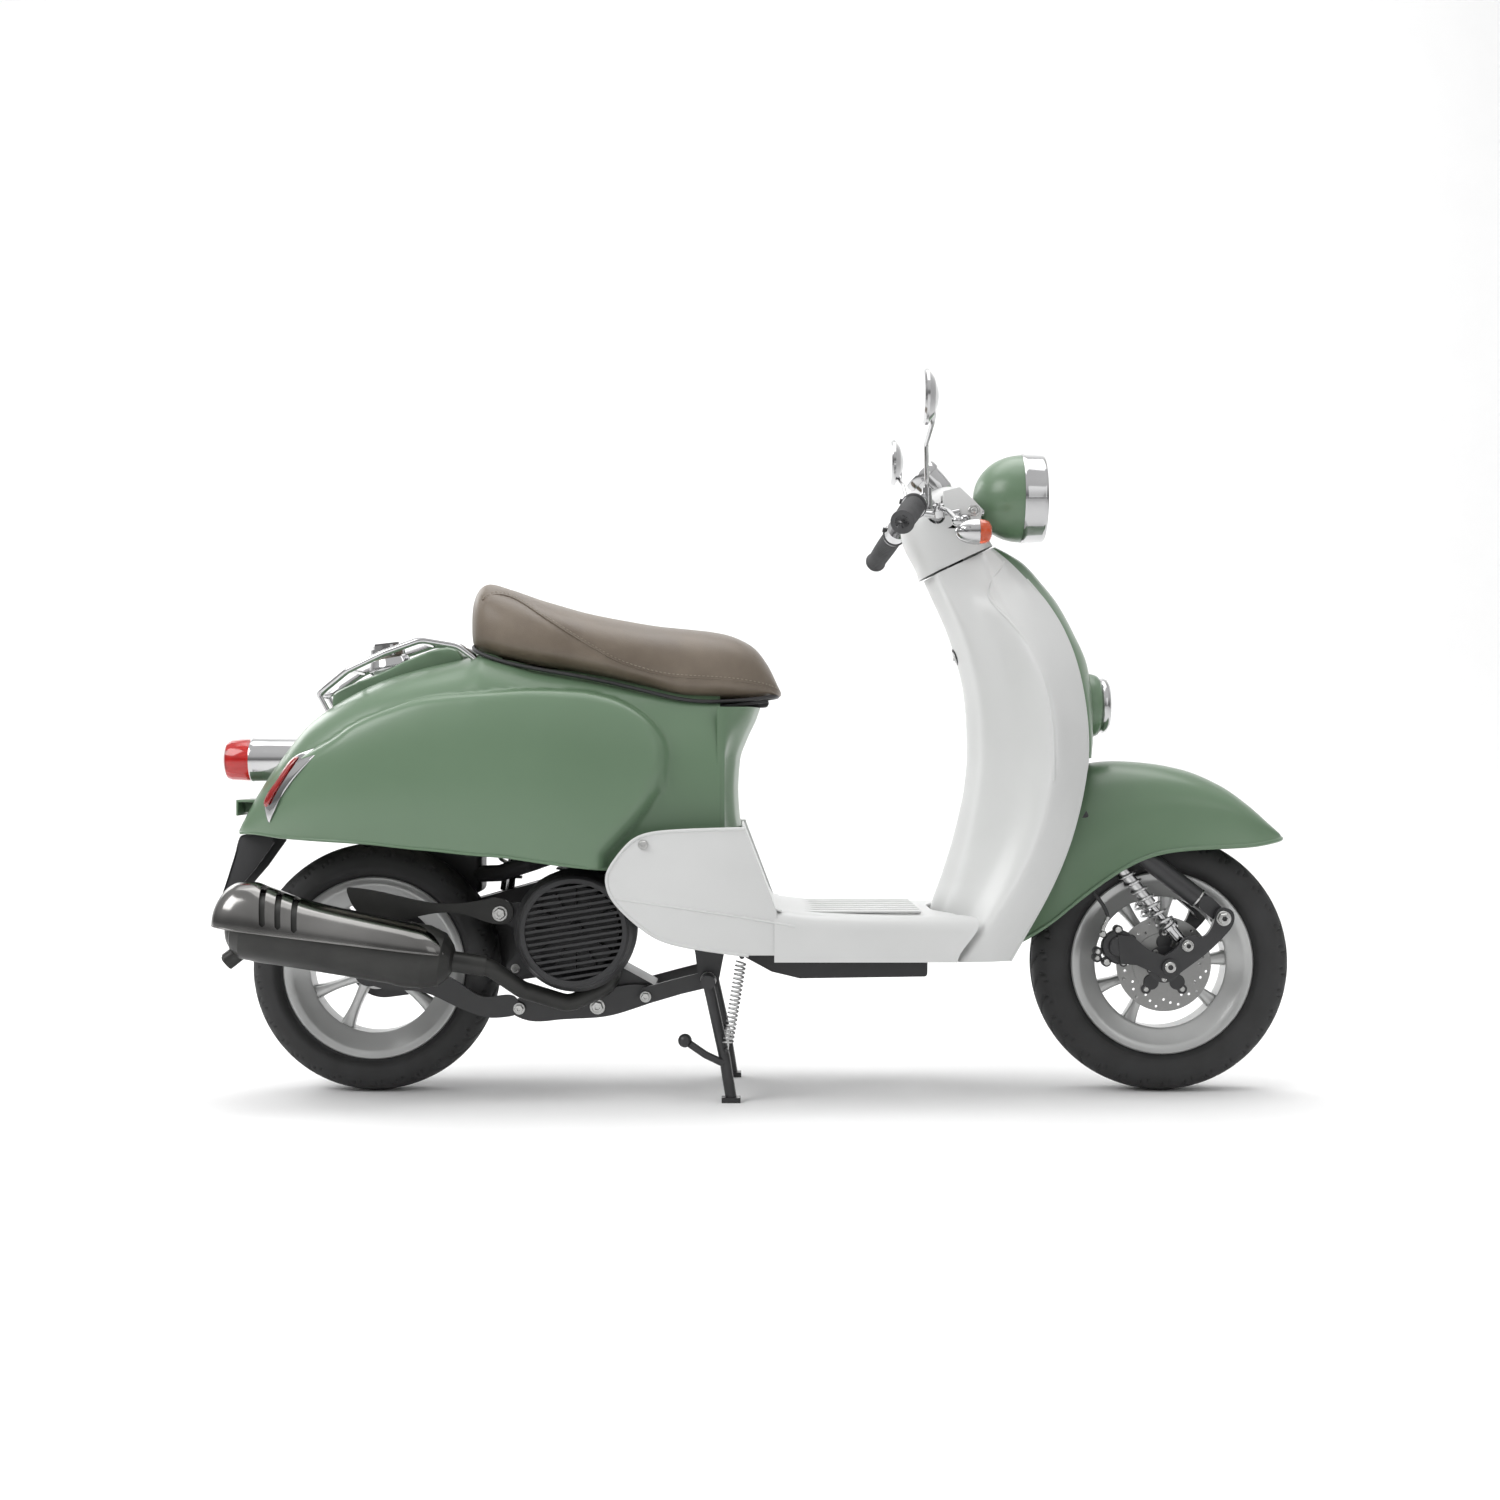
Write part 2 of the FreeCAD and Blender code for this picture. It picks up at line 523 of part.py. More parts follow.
def seat():
    """Foam cushion over a moulded pan that hinges at the nose."""
    wires = []
    for x, top, half, bottom in SEAT_ROWS:
        wires.append(arch(x, top, half, bottom + 0.35 * (top - bottom), bottom, half * 0.86, 2.6))
    cushion = loft(wires)
    pan_rows = [(-446, 712, 70), (-434, 706, 90), (-400, 690, 106), (-340, 678, 116), (-260, 665, 117), (-180, 646, 111),
                (-110, 627.5, 101), (-50, 627.5, 86), (-6, 632.7, 66), (20, 636.5, 46)]
    pan_wires = []
    for x, bottom, half in pan_rows:
        top = bottom + 4.5
        corner = [VEC(x, -half, bottom), VEC(x, half, bottom), VEC(x, half, top), VEC(x, -half, top)]
        pan_wires.append(Part.makePolygon(corner + corner[:1]))
    pan = Part.makeLoft(pan_wires, True, True)
    barrel = ring(SEAT_HINGE, -16, 16, 7, 3.5 + RUN)
    pan = pan.cut(drum(SEAT_HINGE, -17, 17, 3.5 + RUN))
    ear_room = box(-90, 15, 620, 30, 27.5, 646)
    pan = pan.cut(ear_room).cut(mirror_y(ear_room))
    pan = fuse(pan, barrel.cut(box(-50, -20, 641.5, 60, 20, 660)))
    PARTS["seat_pan"] = pan
    hinge_room = fuse(drum(SEAT_HINGE, -27, 27, 8.5), box(-90, 15, 600, 14, 27, 640), box(-90, -27, 600, 14, -15, 640))
    lowered = []
    for x, bottom, half in pan_rows:
        corner = [VEC(x, -170, bottom - 60), VEC(x, 170, bottom - 60), VEC(x, 170, bottom + 4.7), VEC(x, -170, bottom + 4.7)]
        lowered.append(Part.makePolygon(corner + corner[:1]))
    under_pan = Part.makeLoft(lowered, True, True).common(box(-500, -170, 500, 100, 170, 760))
    PARTS["seat_cushion"] = cushion.cut(under_pan).cut(hinge_room)


# ---- stand --------------------------------------------------------------------------------------------
def centre_stand():
    """Two-leg stand on the cross pivot, with the foot tang on the right leg."""
    pivot = (STAND_PIVOT[0], STAND_PIVOT[1])
    hub = ring(pivot, 87, 133, 12, 6)
    leg = tube([(-77, 124, 190), (-66, 126, 140), (-50, 130, 69), (-40, 131, 6)], 9, 60)
    foot = box(-55, 119, 0, -25, 143, 8)
    brace = rod((-52, -126, 80), (-52, 126, 80), 8)
    tang = tube([(-52, -134, 62), (-80, -140, 76), (-113, -142, 99)], 6, 30)
    ball = Part.makeSphere(11, VEC(-113, -142, 99))
    hook = rod((-47, -130, 84), (-47, -147, 84), 3)
    side = fuse(hub, leg.cut(drum(pivot, 80, 140, 6)), foot)
    axle = drum(pivot, -137, 137, 5.9)
    heads = pair(drum(pivot, 134, 140, 11))
    stand = fuse(side, mirror_y(side), brace, tang, ball, hook)
    stand = stand.cut(drum(pivot, -86, 86, 30))
    stand = fuse(stand, drum(pivot, 87, 137, 6.5), drum(pivot, -137, -87, 6.5), drum(pivot, 133, 139, 11),
                 drum(pivot, -139, -133, 11))
    PARTS["centre_stand"] = stand
    PARTS["stand_spring"] = coil((-24, -146, 224), (-44.5, -146, 96), 7.5, 1.5, 19)


# ---- engine and drive ---------------------------------------------------------------------------------
def engine():
    """Single-sided swinging unit: crankcase with drive case, cylinder, cooling cowl, silencer and right arm."""
    case_drum = drum(CRANK, -70, 62, 66)
    drive_case = stadium(CRANK, REAR_AXLE, 84, 60, 62, 98)
    cavity = stadium(CRANK, CLUTCH, 66, 60, 72, 110)
    drive_case = drive_case.cut(cavity)
    hanger = plate([(-300, 215), (-235, 215), (-164, 176), (-164, 150), (-178, 146), (-250, 134), (-330, 190)], -52, 52)
    belly = box(-350, -52, 190, -240, 62, 250)
    lower_plate = blob([(-178, 178), (-166, 168), (-166, 154), (-180, 146), (-240, 128), (-320, 122), (-385, 126),
                        (-400, 140), (-388, 155), (-330, 158), (-240, 172)], -66, -50)
    lower_plate = lower_plate.cut(drum(ENGINE_PIVOT, -80, -40, 9))
    shock_lug = box(-439, REAR_SHOCK_Y - 14, 262, -411, REAR_SHOCK_Y + 14, 318)
    shock_slot = box(-450, REAR_SHOCK_Y - 9.5, 288, -400, REAR_SHOCK_Y + 9.5, 330)
    case = fuse(case_drum, drive_case, hanger, belly, lower_plate)
    shock_pin = drum(REAR_SHOCK_LOW, REAR_SHOCK_Y - 14, REAR_SHOCK_Y + 14, 5)
    case = case.cut(box(-450, REAR_SHOCK_Y - 14, 286, -400, REAR_SHOCK_Y + 20, 400))
    case = fuse(case, shock_lug.cut(shock_slot), shock_pin)
    case = case.cut(drum(ENGINE_PIVOT, -90, 90, 6 + RUN))
    case = case.cut(drum(CRANK, -90, 120, 11 + RUN))
    case = case.cut(drum(CRANK, -58, 50, 50))
    case = case.cut(drum(REAR_AXLE, 40, 120, 10 + RUN))
    case = case.cut(drum((-400, 250), 60, 98, 7 + RUN))
    PARTS["crankcase"] = case.removeSplitter()

    cover = stadium(CRANK, REAR_AXLE, 84, 60, 98.3, 152)
    cover_inside = stadium(CRANK, CLUTCH, 80, 56, 90, 148.5)
    cover = cover.cut(cover_inside).cut(shock_lug).cut(box(-452, 80, 288, -398, 125, 400))
    cover = cover.cut(drum((-400, 250), 80, 160, 7 + RUN)).cut(drum(REAR_AXLE, 90, 120, 12))
    PARTS["cvt_cover"] = cover

    shaft = drum(CRANK, -128, 144, 11)
    variator = fuse(drum(CRANK, 116, 119.5, 44), drum(CRANK, 132.5, 136, 44), drum(CRANK, 119, 133, 29.5))
    webs = fuse(drum(CRANK, -50, -18, 42), drum(CRANK, 14, 42, 42))
    fan_disc = drum(CRANK, -104, -100, 68)
    blades = []
    for i in range(12):
        blade = Part.makeBox(30, 22, 2.4, VEC(36, -124, -1.2))
        blade.rotate(VEC(0, 0, 0), VEC(0, 1, 0), 30.0 * i)
        blade.translate(VEC(CRANK[0], 0, CRANK[1]))
        blades.append(blade)
    PARTS["crank_and_fan"] = fuse(shaft, variator, webs, fan_disc, *blades)

    cowl = turned([(0, 88), (0, 97), (50, 98), (66, 92), (84, 88), (88, 84), (88, 77), (80, 77), (62, 86), (46, 92)],
                  (CRANK[0], -72.5, CRANK[1]), (0, -1, 0))
    ears = []
    for x, z in ((-388, 207), (-409, 298)):
        ear = stadium((x, z), CRANK, 15, 40, -84, -73)
        ears.append(ear.cut(drum(CRANK, -90, -60, 88.5)))
    slats = []
    for i in range(15):
        offset = -70 + 10 * i
        half = math.sqrt(max(79.0 ** 2 - offset ** 2, 1))
        slat = Part.makeBox(2 * half, 9, 4.2, VEC(-half, -158, offset - 2.1))
        slat.rotate(VEC(0, 0, 0), VEC(0, 1, 0), -9)
        slat.translate(VEC(CRANK[0], 0, CRANK[1]))
        slats.append(slat)
    PARTS["fan_cowl"] = fuse(cowl, *ears, *slats)

    fins = [box(-47, -50, z, 47, 46, z + 3) for z in range(72, 140, 8)]
    barrel = Part.makeCylinder(34, 70, VEC(0, -2, 68))
    head = box(-36, -38, 136, 36, 34, 152)
    plug = rod((0, 0, 150), (14, 0, 172), 8)
    cylinder = fuse(barrel, head, plug, *fins)
    cylinder.rotate(VEC(0, 0, 0), VEC(0, 1, 0), 6)
    cylinder.translate(VEC(CRANK[0], 0, CRANK[1]))
    PARTS["cylinder"] = cylinder.cut(PARTS["crankcase"]).cut(drum(CRANK, -80, 80, 66.2))

    filter_box = box(-640, 66, 317, -462, 148, 400)
    filter_box = filter_box.makeFillet(12, filter_box.Edges)
    snorkel = tube([(-470, 78, 350), (-430, 64, 352), (-370, 40, 372), (-338, 10, 384)], 14, 30)
    PARTS["air_filter_box"] = fuse(filter_box, snorkel).cut(PARTS["cylinder"]).cut(PARTS["crankcase"])
    exhaust_and_arm()
    kick_lever()


MUFFLER_REAR = (-826.0, -180.0, 285.0)
MUFFLER_FRONT = (-474.0, -178.0, 228.0)


def exhaust_and_arm():
    """Silencer with its pipe, plated heat shield above the seam, hanger bracket, and the right swing arm."""
    axis = VEC(*MUFFLER_FRONT) - VEC(*MUFFLER_REAR)
    length = axis.Length
    profile = [(4, 0), (4, 26), (12, 40), (28, 49), (length - 44, 50), (length - 18, 42), (length - 4, 26), (length, 17), (length, 0)]
    can = turned(profile, MUFFLER_REAR, (axis.x, axis.y, axis.z))
    chamber = [(7, 0), (7, 24), (14, 38), (30, 46.5), (length - 46, 47.5), (length - 21, 40), (length - 30, 0)]
    can = can.cut(turned(chamber, MUFFLER_REAR, (axis.x, axis.y, axis.z)))
    pipe = tube([MUFFLER_FRONT, (-420, -172, 219), (-372, -128, 178), (-300, -100, 152), (-236, -90, 180), (-214, -60, 300),
                 (-236, -30, 352)], 14, 34)
    tip = rod((-800, -180, 250), (-828, -180, 229), 13)
    shape = fuse(can, pipe, tip)
    shape = shape.cut(PARTS["crankcase"]).cut(PARTS["cylinder"]).cut(PARTS["fan_cowl"])
    silencer = max(shape.Solids, key=lambda s: s.Volume)
    grow = [(-18, 0), (-16, 22), (-4, 42), (18, 53.5), (length - 40, 54), (length - 12, 44), (length - 2, 26), (length - 2, 0)]
    inner = [(-15.5, 0), (-13.5, 21), (-2, 40), (18, 50.8), (length - 42, 51.4), (length - 14, 42.5), (length - 3, 22), (length - 3, 0)]
    shield = turned(grow, MUFFLER_REAR, (axis.x, axis.y, axis.z)).cut(turned(inner, MUFFLER_REAR, (axis.x, axis.y, axis.z)))
    seam = [(-900, 297), (-400, 216), (-400, 100), (-900, 100)]
    shield = shield.cut(plate(seam, -300, -60)).cut(can)
    for along_x in (-772, -757, -742):
        slot = plate([(along_x, 300), (along_x + 7, 300), (along_x + 4, 345), (along_x - 3, 345)], -260, -180)
        shield = shield.cut(slot)
    PARTS["heat_shield"] = shield.cut(silencer)

    arm_outline = [(-400, 128), (-382, 142), (-388, 158), (-436, 160), (-470, 176), (-505, 196), (-560, 212), (-624, 226),
                   (-648, 203), (-624, 180), (-540, 168), (-482, 143), (-440, 128)]
    arm = blob(arm_outline, -74, -66)
    bearing = ring(REAR_AXLE, -76, -60, 26, 10 + RUN)
    arm = fuse(arm.cut(drum(REAR_AXLE, -80, -50, 26)), bearing)
    arm = arm.cut(PARTS["crankcase"])
    PARTS["right_swing_arm"] = arm
    hanger = blob([(-655, 338), (-600, 330), (-505, 312), (-440, 318), (-410, 320), (-392, 306), (-396, 284), (-412, 279),
                   (-460, 292), (-520, 296), (-655, 322)], -92, -85)
    hanger = hanger.cut(PARTS["fan_cowl"])
    PARTS["exhaust"] = Part.makeCompound([silencer, hanger])


def kick_lever():
    """Kick-start crank on the left cover, parked forwards and up."""
    shaft = drum((-400, 250), 90, 166, 7)
    crank = tube([(-400, 160, 250), (-450, 162, 262), (-520, 166, 286), (-560, 168, 300)], 7, 40)
    pedal = rod((-560, 160, 300), (-560, 215, 300), 7.5)
    boss = drum((-400, 250), 154, 170, 13)
    PARTS["kick_lever"] = fuse(shaft, crank, pedal, boss)


# ---- wheels -------------------------------------------------------------------------------------------
def rim(axle, shaft_bore, hub_half):
    """Cast rim with three split spokes."""
    half = 38.0
    seat = BEAD_SEAT_R
    barrel = turned([(-half, seat), (-half, RIM_FLANGE_R), (-half + 4, RIM_FLANGE_R), (-half + 4, seat), (-24, seat),
                     (-18, 118), (18, 118), (24, seat), (half - 4, seat), (half - 4, RIM_FLANGE_R), (half, RIM_FLANGE_R),
                     (half, seat), (30, 128), (22, 108), (-22, 108), (-30, 128)], (0, 0, 0), (0, 1, 0))
    hub = Part.makeCylinder(34, 2 * hub_half, VEC(0, -hub_half, 0), VEC(0, 1, 0))
    spokes = []
    for centre in (-17, 103, 223):
        for offset in (-19, 19):
            foot = math.radians(centre + offset)
            root = math.radians(centre + offset * 0.45)
            a = VEC(26 * math.cos(root), 0, 26 * math.sin(root))
            b = VEC(111 * math.cos(foot), 0, 111 * math.sin(foot))
            run = b - a
            spoke = Part.makeBox(run.Length, 24, 20, VEC(0, -12, -10))
            spoke.Placement = FreeCAD.Placement(a, FreeCAD.Rotation(VEC(1, 0, 0), run))
            spokes.append(spoke)
    wheel = fuse(barrel, hub, *spokes)
    wheel = wheel.cut(Part.makeCylinder(shaft_bore, 200, VEC(0, -100, 0), VEC(0, 1, 0)))
    wheel.translate(VEC(axle[0], 0, axle[1]))
    return wheel


def tyre(axle, radius, half):
    section = [(-33.8, BEAD_SEAT_R), (-33.8, RIM_FLANGE_R + 0.5), (-half, radius - 40), (-half + 3, radius - 22),
               (-half * 0.72, radius - 8), (-half * 0.36, radius - 1.6), (0, radius)]
    section += [(-d, r) for d, r in reversed(section[:-1])]
    inside = [(27, BEAD_SEAT_R), (half - 9, radius - 42), (half - 12, radius - 26), (16, radius - 13), (0, radius - 12)]
    inside += [(-d, r) for d, r in reversed(inside[:-1])]
    ring_wire = section + inside
    body = turned(ring_wire, (0, 0, 0), (0, 1, 0))
    body.translate(VEC(axle[0], 0, axle[1]))
    return body


def wheels():
    PARTS["front_rim"] = rim(FRONT_AXLE, 8 + RUN, 40)
    PARTS["front_tyre"] = tyre(FRONT_AXLE, FRONT_TYRE_R, TYRE_HALF_W)
    rear = rim(REAR_AXLE, 9, 46)
    shaft = drum(REAR_AXLE, -84, 97, 10)
    PARTS["rear_rim"] = fuse(rear, shaft)
    PARTS["rear_tyre"] = tyre(REAR_AXLE, REAR_TYRE_R, TYRE_HALF_W + 2)
    disc = ring(FRONT_AXLE, -51, -47, 77, 50)
    for i in range(36):
        angle = math.radians(10 * i)
        radius = (58, 64, 70)[i % 3]
        hole = (FRONT_AXLE[0] + radius * math.cos(angle), FRONT_AXLE[1] + radius * math.sin(angle))
        disc = disc.cut(drum(hole, -52, -46, 2.2))
    carrier = ring(FRONT_AXLE, -53, -40, 50.5, 16)
    PARTS["brake_disc"] = fuse(disc, carrier)


# ---- front suspension ---------------------------------------------------------------------------------
def steering_fork():
    """Stem, crown and two legs that carry the trailing link."""
    stem = Part.makeCylinder(15, 458, VEC(0, 0, -440))
    collar = Part.makeCylinder(24, 18, VEC(0, 0, -306)).cut(Part.makeCylinder(12, 18, VEC(0, 0, -306)))
    upper = on_steering(fuse(stem, collar))
    sx, sz = steering_point(0, -440)
    crown = box(sx - 12, -72, sz - 26, sx + 34, 72, sz)
    leg = tube([(sx + 10, 70, sz - 13), (585, 70, 420), (640, 70, 376), (712, 70, 321), (735, 70, 304)], 13.5, 60)
    knuckle = fuse(drum(LINK_PIVOT, 60, 86, 15), stadium((726, 311), LINK_PIVOT, 13, 12, 60, 86))
    shock_ear = plate([(558, 448), (596, 440), (586, 384), (570, 378), (556, 388)], 52, 58)
    shock_pin = drum(FRONT_SHOCK_TOP, 52, 80, 5)
    side = fuse(leg, knuckle, shock_ear, shock_pin)
    pin = drum(LINK_PIVOT, 60, 106, 7)
    fork = fuse(upper, crown, side, mirror_y(side), pin, mirror_y(pin))
    PARTS["steering_fork"] = fork


def front_link():
    """Trailing arms joined by the axle, and the brake caliper on the right arm."""
    outline = [(750, 306), (766, 296), (765, 280), (752, 262), (728, 238), (700, 216), (678, 200), (663, 192), (645, 198),
               (642, 214), (655, 229), (672, 240), (686, 256), (700, 261), (716, 259), (728, 270), (735, 288), (739, 301)]
    arm = blob(outline, 88, 100).cut(drum(LINK_PIVOT, 80, 110, 7 + RUN))
    axle = drum(FRONT_AXLE, -104, 104, 8)
    spacer = drum(FRONT_AXLE, 41, 88, 13)
    shock_pin = drum(FRONT_SHOCK_LOW, 59, 104, 5)
    nut = drum(FRONT_AXLE, 100, 106, 13)
    side = fuse(arm, shock_pin, spacer, nut)
    caliper_arm = plate([(655, 229), (645, 198), (610, 214), (584, 216), (580, 262), (604, 260), (630, 238)], -100, -88)
    PARTS["front_link"] = fuse(side, mirror_y(side), axle, caliper_arm)
    caliper = fuse(drum((585, 240), -88, -58, 26), drum((590, 240), -58, -41, 14))
    slot = drum(FRONT_AXLE, -53, -45, 79)
    caliper = caliper.cut(slot).cut(drum(FRONT_AXLE, -95, -40, 53))
    PARTS["brake_caliper"] = max(caliper.Solids, key=lambda s: s.Volume)


def shock(low, top, y, body_r, spring_r, wire, turns, free):
    """A coil-over unit: upper body with its eye, lower rod with its eye, and the spring between."""
    a, b = (low[0], y, low[1]), (top[0], y, top[1])
    length = math.dist(a, b)
    eye_top = ring(top, y - 8, y + 8, 12, 6.5)
    eye_low = ring(low, y - 8, y + 8, 12, 6.5)
    upper_seat = rod(along(b, a, 22), along(b, a, 27), spring_r + 0.5)
    can = rod(along(b, a, 10.5), along(b, a, length * 0.56), body_r)
    bore = rod(along(b, a, length * 0.56 - free), along(b, a, length * 0.56 + 1), 5.4)
    body = fuse(can, upper_seat).cut(drum(top, y - 9, y + 9, 11)).cut(bore)
    body = fuse(body, eye_top)
    low_seat = rod(along(a, b, 34), along(a, b, 39), spring_r + 0.5)
    shaft = rod(along(a, b, 10.5), along(a, b, length * 0.44 + free * 0.4), 5.2)
    cup = rod(along(a, b, 10.5), along(a, b, 38), body_r)
    lower = fuse(shaft, cup, low_seat).cut(drum(low, y - 9, y + 9, 11))
    lower = fuse(lower, eye_low)
    spring = coil(along(a, b, 39.2 + wire), along(b, a, 27.2 + wire), spring_r - wire, wire, turns)
    return body, lower, spring


def shocks():
    front = shock(FRONT_SHOCK_LOW, FRONT_SHOCK_TOP, FRONT_SHOCK_Y, 9.5, 14.5, 2.0, 9, 40)
    for name, piece in zip(("front_shock_bodies", "front_shock_rods", "front_shock_springs"), front):
        PARTS[name] = pair(piece)
    rear = shock(REAR_SHOCK_LOW, REAR_SHOCK_TOP, REAR_SHOCK_Y, 12.0, 23.0, 3.2, 8, 50)
    for name, piece in zip(("rear_shock_body", "rear_shock_rod", "rear_shock_spring"), rear):
        PARTS[name] = piece


# x, top, half width, height of the widest point, bottom edge, half width at the bottom edge
FENDER_ROWS = [
    (426, 262, 60, 254, 248, 60),
    (446, 352, 76, 290, 262, 78),
    (474, 448, 84, 330, 281, 86),
    (505, 512, 88, 370, 308, 90),
    (540, 536, 88, 400, 336, 91),
    (590, 541, 87, 430, 371, 91),
    (640, 538, 86, 450, 394, 90),
    (700, 527, 84, 458, 401, 89),
    (760, 502, 80, 455, 403, 86),
    (805, 470, 72, 440, 405, 79),
    (838, 440, 58, 425, 410, 64),
    (860, 419, 34, 416, 413, 38),
]


def front_fender():
    wires, inner = [], []
    for i, (x, top, half, widest, bottom, foot) in enumerate(FENDER_ROWS):
        wires.append(arch(x, top, half, widest, bottom, foot))
        shift = 3 if i == 0 else (-3 if i == len(FENDER_ROWS) - 1 else 0)
        inner.append(arch(x + shift, top - WALL, half - WALL, widest, bottom - 30, foot - WALL))
    shell = loft(wires).cut(loft(inner))
    stem_room = on_steering(Part.makeCylinder(16.5, 420, VEC(0, 0, -430)))
    shell = shell.cut(stem_room).cut(PARTS["steering_fork"])
    PARTS["front_fender"] = shell


# ---- handlebar ----------------------------------------------------------------------------------------
def handlebar():
    """Bar tube, clamp, switch pods, lamp bracket and lever perches."""
    half = [GRIP_OUTER, along(GRIP_INNER, GRIP_OUTER, -25), (268, 112, 960), (302, 44, 930)]
    path = half + [(x, -y, z) for x, y, z in reversed(half)]
    bar = tube(path, 11, 40)
    clamp = on_steering(Part.makeCylinder(21, 62, VEC(6, 0, 18)))
    pod = rod(along(GRIP_INNER, GRIP_OUTER, -24), along(GRIP_INNER, GRIP_OUTER, 8), 19)
    normal = lever_axes()[1]
    perch_start = VEC(*along(GRIP_INNER, GRIP_OUTER, -14)) - normal * 13
    perch_end = VEC(*LEVER_PIVOT) - normal * 13
    perch = Part.makeCylinder(5, (perch_end - perch_start).Length, perch_start, perch_end - perch_start)
    perch_disc = lever_disc(LEVER_PIVOT, 9, -15, -4.5)
    perch_disc = fuse(perch_disc, lever_disc(LEVER_PIVOT, 3.5, -9, 8))
    mirror_boss = rod((MIRROR_BASE[0], MIRROR_BASE[1], MIRROR_BASE[2] - 28), (MIRROR_BASE[0], MIRROR_BASE[1], MIRROR_BASE[2] - 6), 8)
    bracket = plate([(306, 978), (330, 984), (352, 962), (366, 948), (362, 934), (338, 922), (318, 934), (304, 950)], 58, 62)
    stay = rod((355, 56, 946), (368, 50, 946), 6)
    stalk = tube([(338, 60, 930), (342, 90, 914), (343, 108, 908)], 4.5, 20)
    tab = rod((294, 60, 937), (330, 60, 945), 7)
    side = fuse(pod, perch, perch_disc, mirror_boss, bracket, tab, stay, stalk)
    spreader = rod((336, -60, 940), (336, 60, 940), 6)
    bars = fuse(bar, clamp, side, mirror_y(side), spreader)
    for sign in (1, -1):
        base = VEC(MIRROR_BASE[0], sign * MIRROR_BASE[1], MIRROR_BASE[2])
        bars = bars.cut(Part.makeCylinder(4 + RUN, 60, base - VEC(0, 0, 22)))
    PARTS["handlebar"] = bars
    PARTS["left_grip"] = sleeve(1)
    PARTS["throttle_grip"] = sleeve(-1)


def lever_axes():
    """Grip direction, and the normal of the plane that the left lever swings in."""
    grip = (VEC(*GRIP_OUTER) - VEC(*GRIP_INNER)).normalize()
    lever = (VEC(*LEVER_BALL) - VEC(*LEVER_PIVOT)).normalize()
    return grip, lever.cross(grip).normalize()


def lever_disc(centre, radius, low, high):
    normal = lever_axes()[1]
    return Part.makeCylinder(radius, high - low, VEC(*centre) + normal * low, normal)


def sleeve(sign):
    a, b = along(GRIP_INNER, GRIP_OUTER, 9), along(GRIP_INNER, GRIP_OUTER, 132)
    body = rod(a, b, 15.5).cut(rod(along(a, b, -1), along(a, b, 121), 11 + RUN))
    flange = rod(a, along(a, b, 5), 20).cut(rod(along(a, b, -1), along(a, b, 8), 11 + RUN))
    knob = rod(along(a, b, 115), along(a, b, 123), 17).cut(rod(along(a, b, 100), along(a, b, 121), 11 + RUN))
    grip = fuse(body, flange, knob)
    return grip if sign > 0 else mirror_y(grip)


def levers():
    """Brake levers with ball ends on their perches."""
    bend = along(LEVER_PIVOT, LEVER_BALL, 40)
    blade = tube([along(LEVER_PIVOT, LEVER_BALL, 4), (bend[0] + 7, bend[1], bend[2]), LEVER_BALL], 4.2, 60)
    eye = lever_disc(LEVER_PIVOT, 9, -4.2, 4.2)
    ball = Part.makeSphere(8, VEC(*LEVER_BALL))
    lever = fuse(blade, eye, ball).cut(lever_disc(LEVER_PIVOT, 3.5 + RUN, -10, 10))
    PARTS["brake_lever_left"] = lever
    PARTS["brake_lever_right"] = mirror_y(lever)


def mirrors():
    """Round mirrors on bent stems that turn in their bosses."""
    x, y, z = MIRROR_BASE
    hx, hy, hz = MIRROR_HEAD
    pin = rod((x, y, z - 20), (x, y, z), 4)
    nut = rod((x, y, z - 5.5), (x, y, z + 6), 7.5)
    stem = tube([(x, y, z), (x, y, z + 18), (x - 6, y + 60, z + 66), (hx + 6, hy - 14, hz - 34), (hx + 8, hy, hz - 10)], 3.6, 20)
    head = turned([(0, 0), (0, 38), (3, 41.5), (7, 41.5), (16, 30), (22, 14), (24, 0)], (0, 0, 0), (1, 0, 0))
    stretch = FreeCAD.Matrix()
    stretch.scale(1.0, 1.25, 1.0)
    head = head.transformGeometry(stretch)
    head.translate(VEC(hx - 10, hy, hz))
    mirror = fuse(pin, nut, stem, head)
    PARTS["mirror_left"] = mirror
    PARTS["mirror_right"] = mirror_y(mirror)


def controls():
    """Push buttons on the two pods: horn on the left, starter on the right."""
    pod = VEC(*along(GRIP_INNER, GRIP_OUTER, -8))
    back = VEC(-1, 0, 0.25).normalize()

    def button(radius, sink, rise, shift):
        centre = pod + VEC(0, shift, 0)
        return Part.makeCylinder(radius, rise - sink, centre + back * sink, back)

    hole = button(4.6, 13, 40, 0)
    bars = PARTS["handlebar"].cut(mirror_y(hole)).cut(hole)
    PARTS["handlebar"] = bars
    starter = button(4.3, 16, 24, 0)
    PARTS["starter_button"] = mirror_y(starter)
    PARTS["horn_button"] = starter


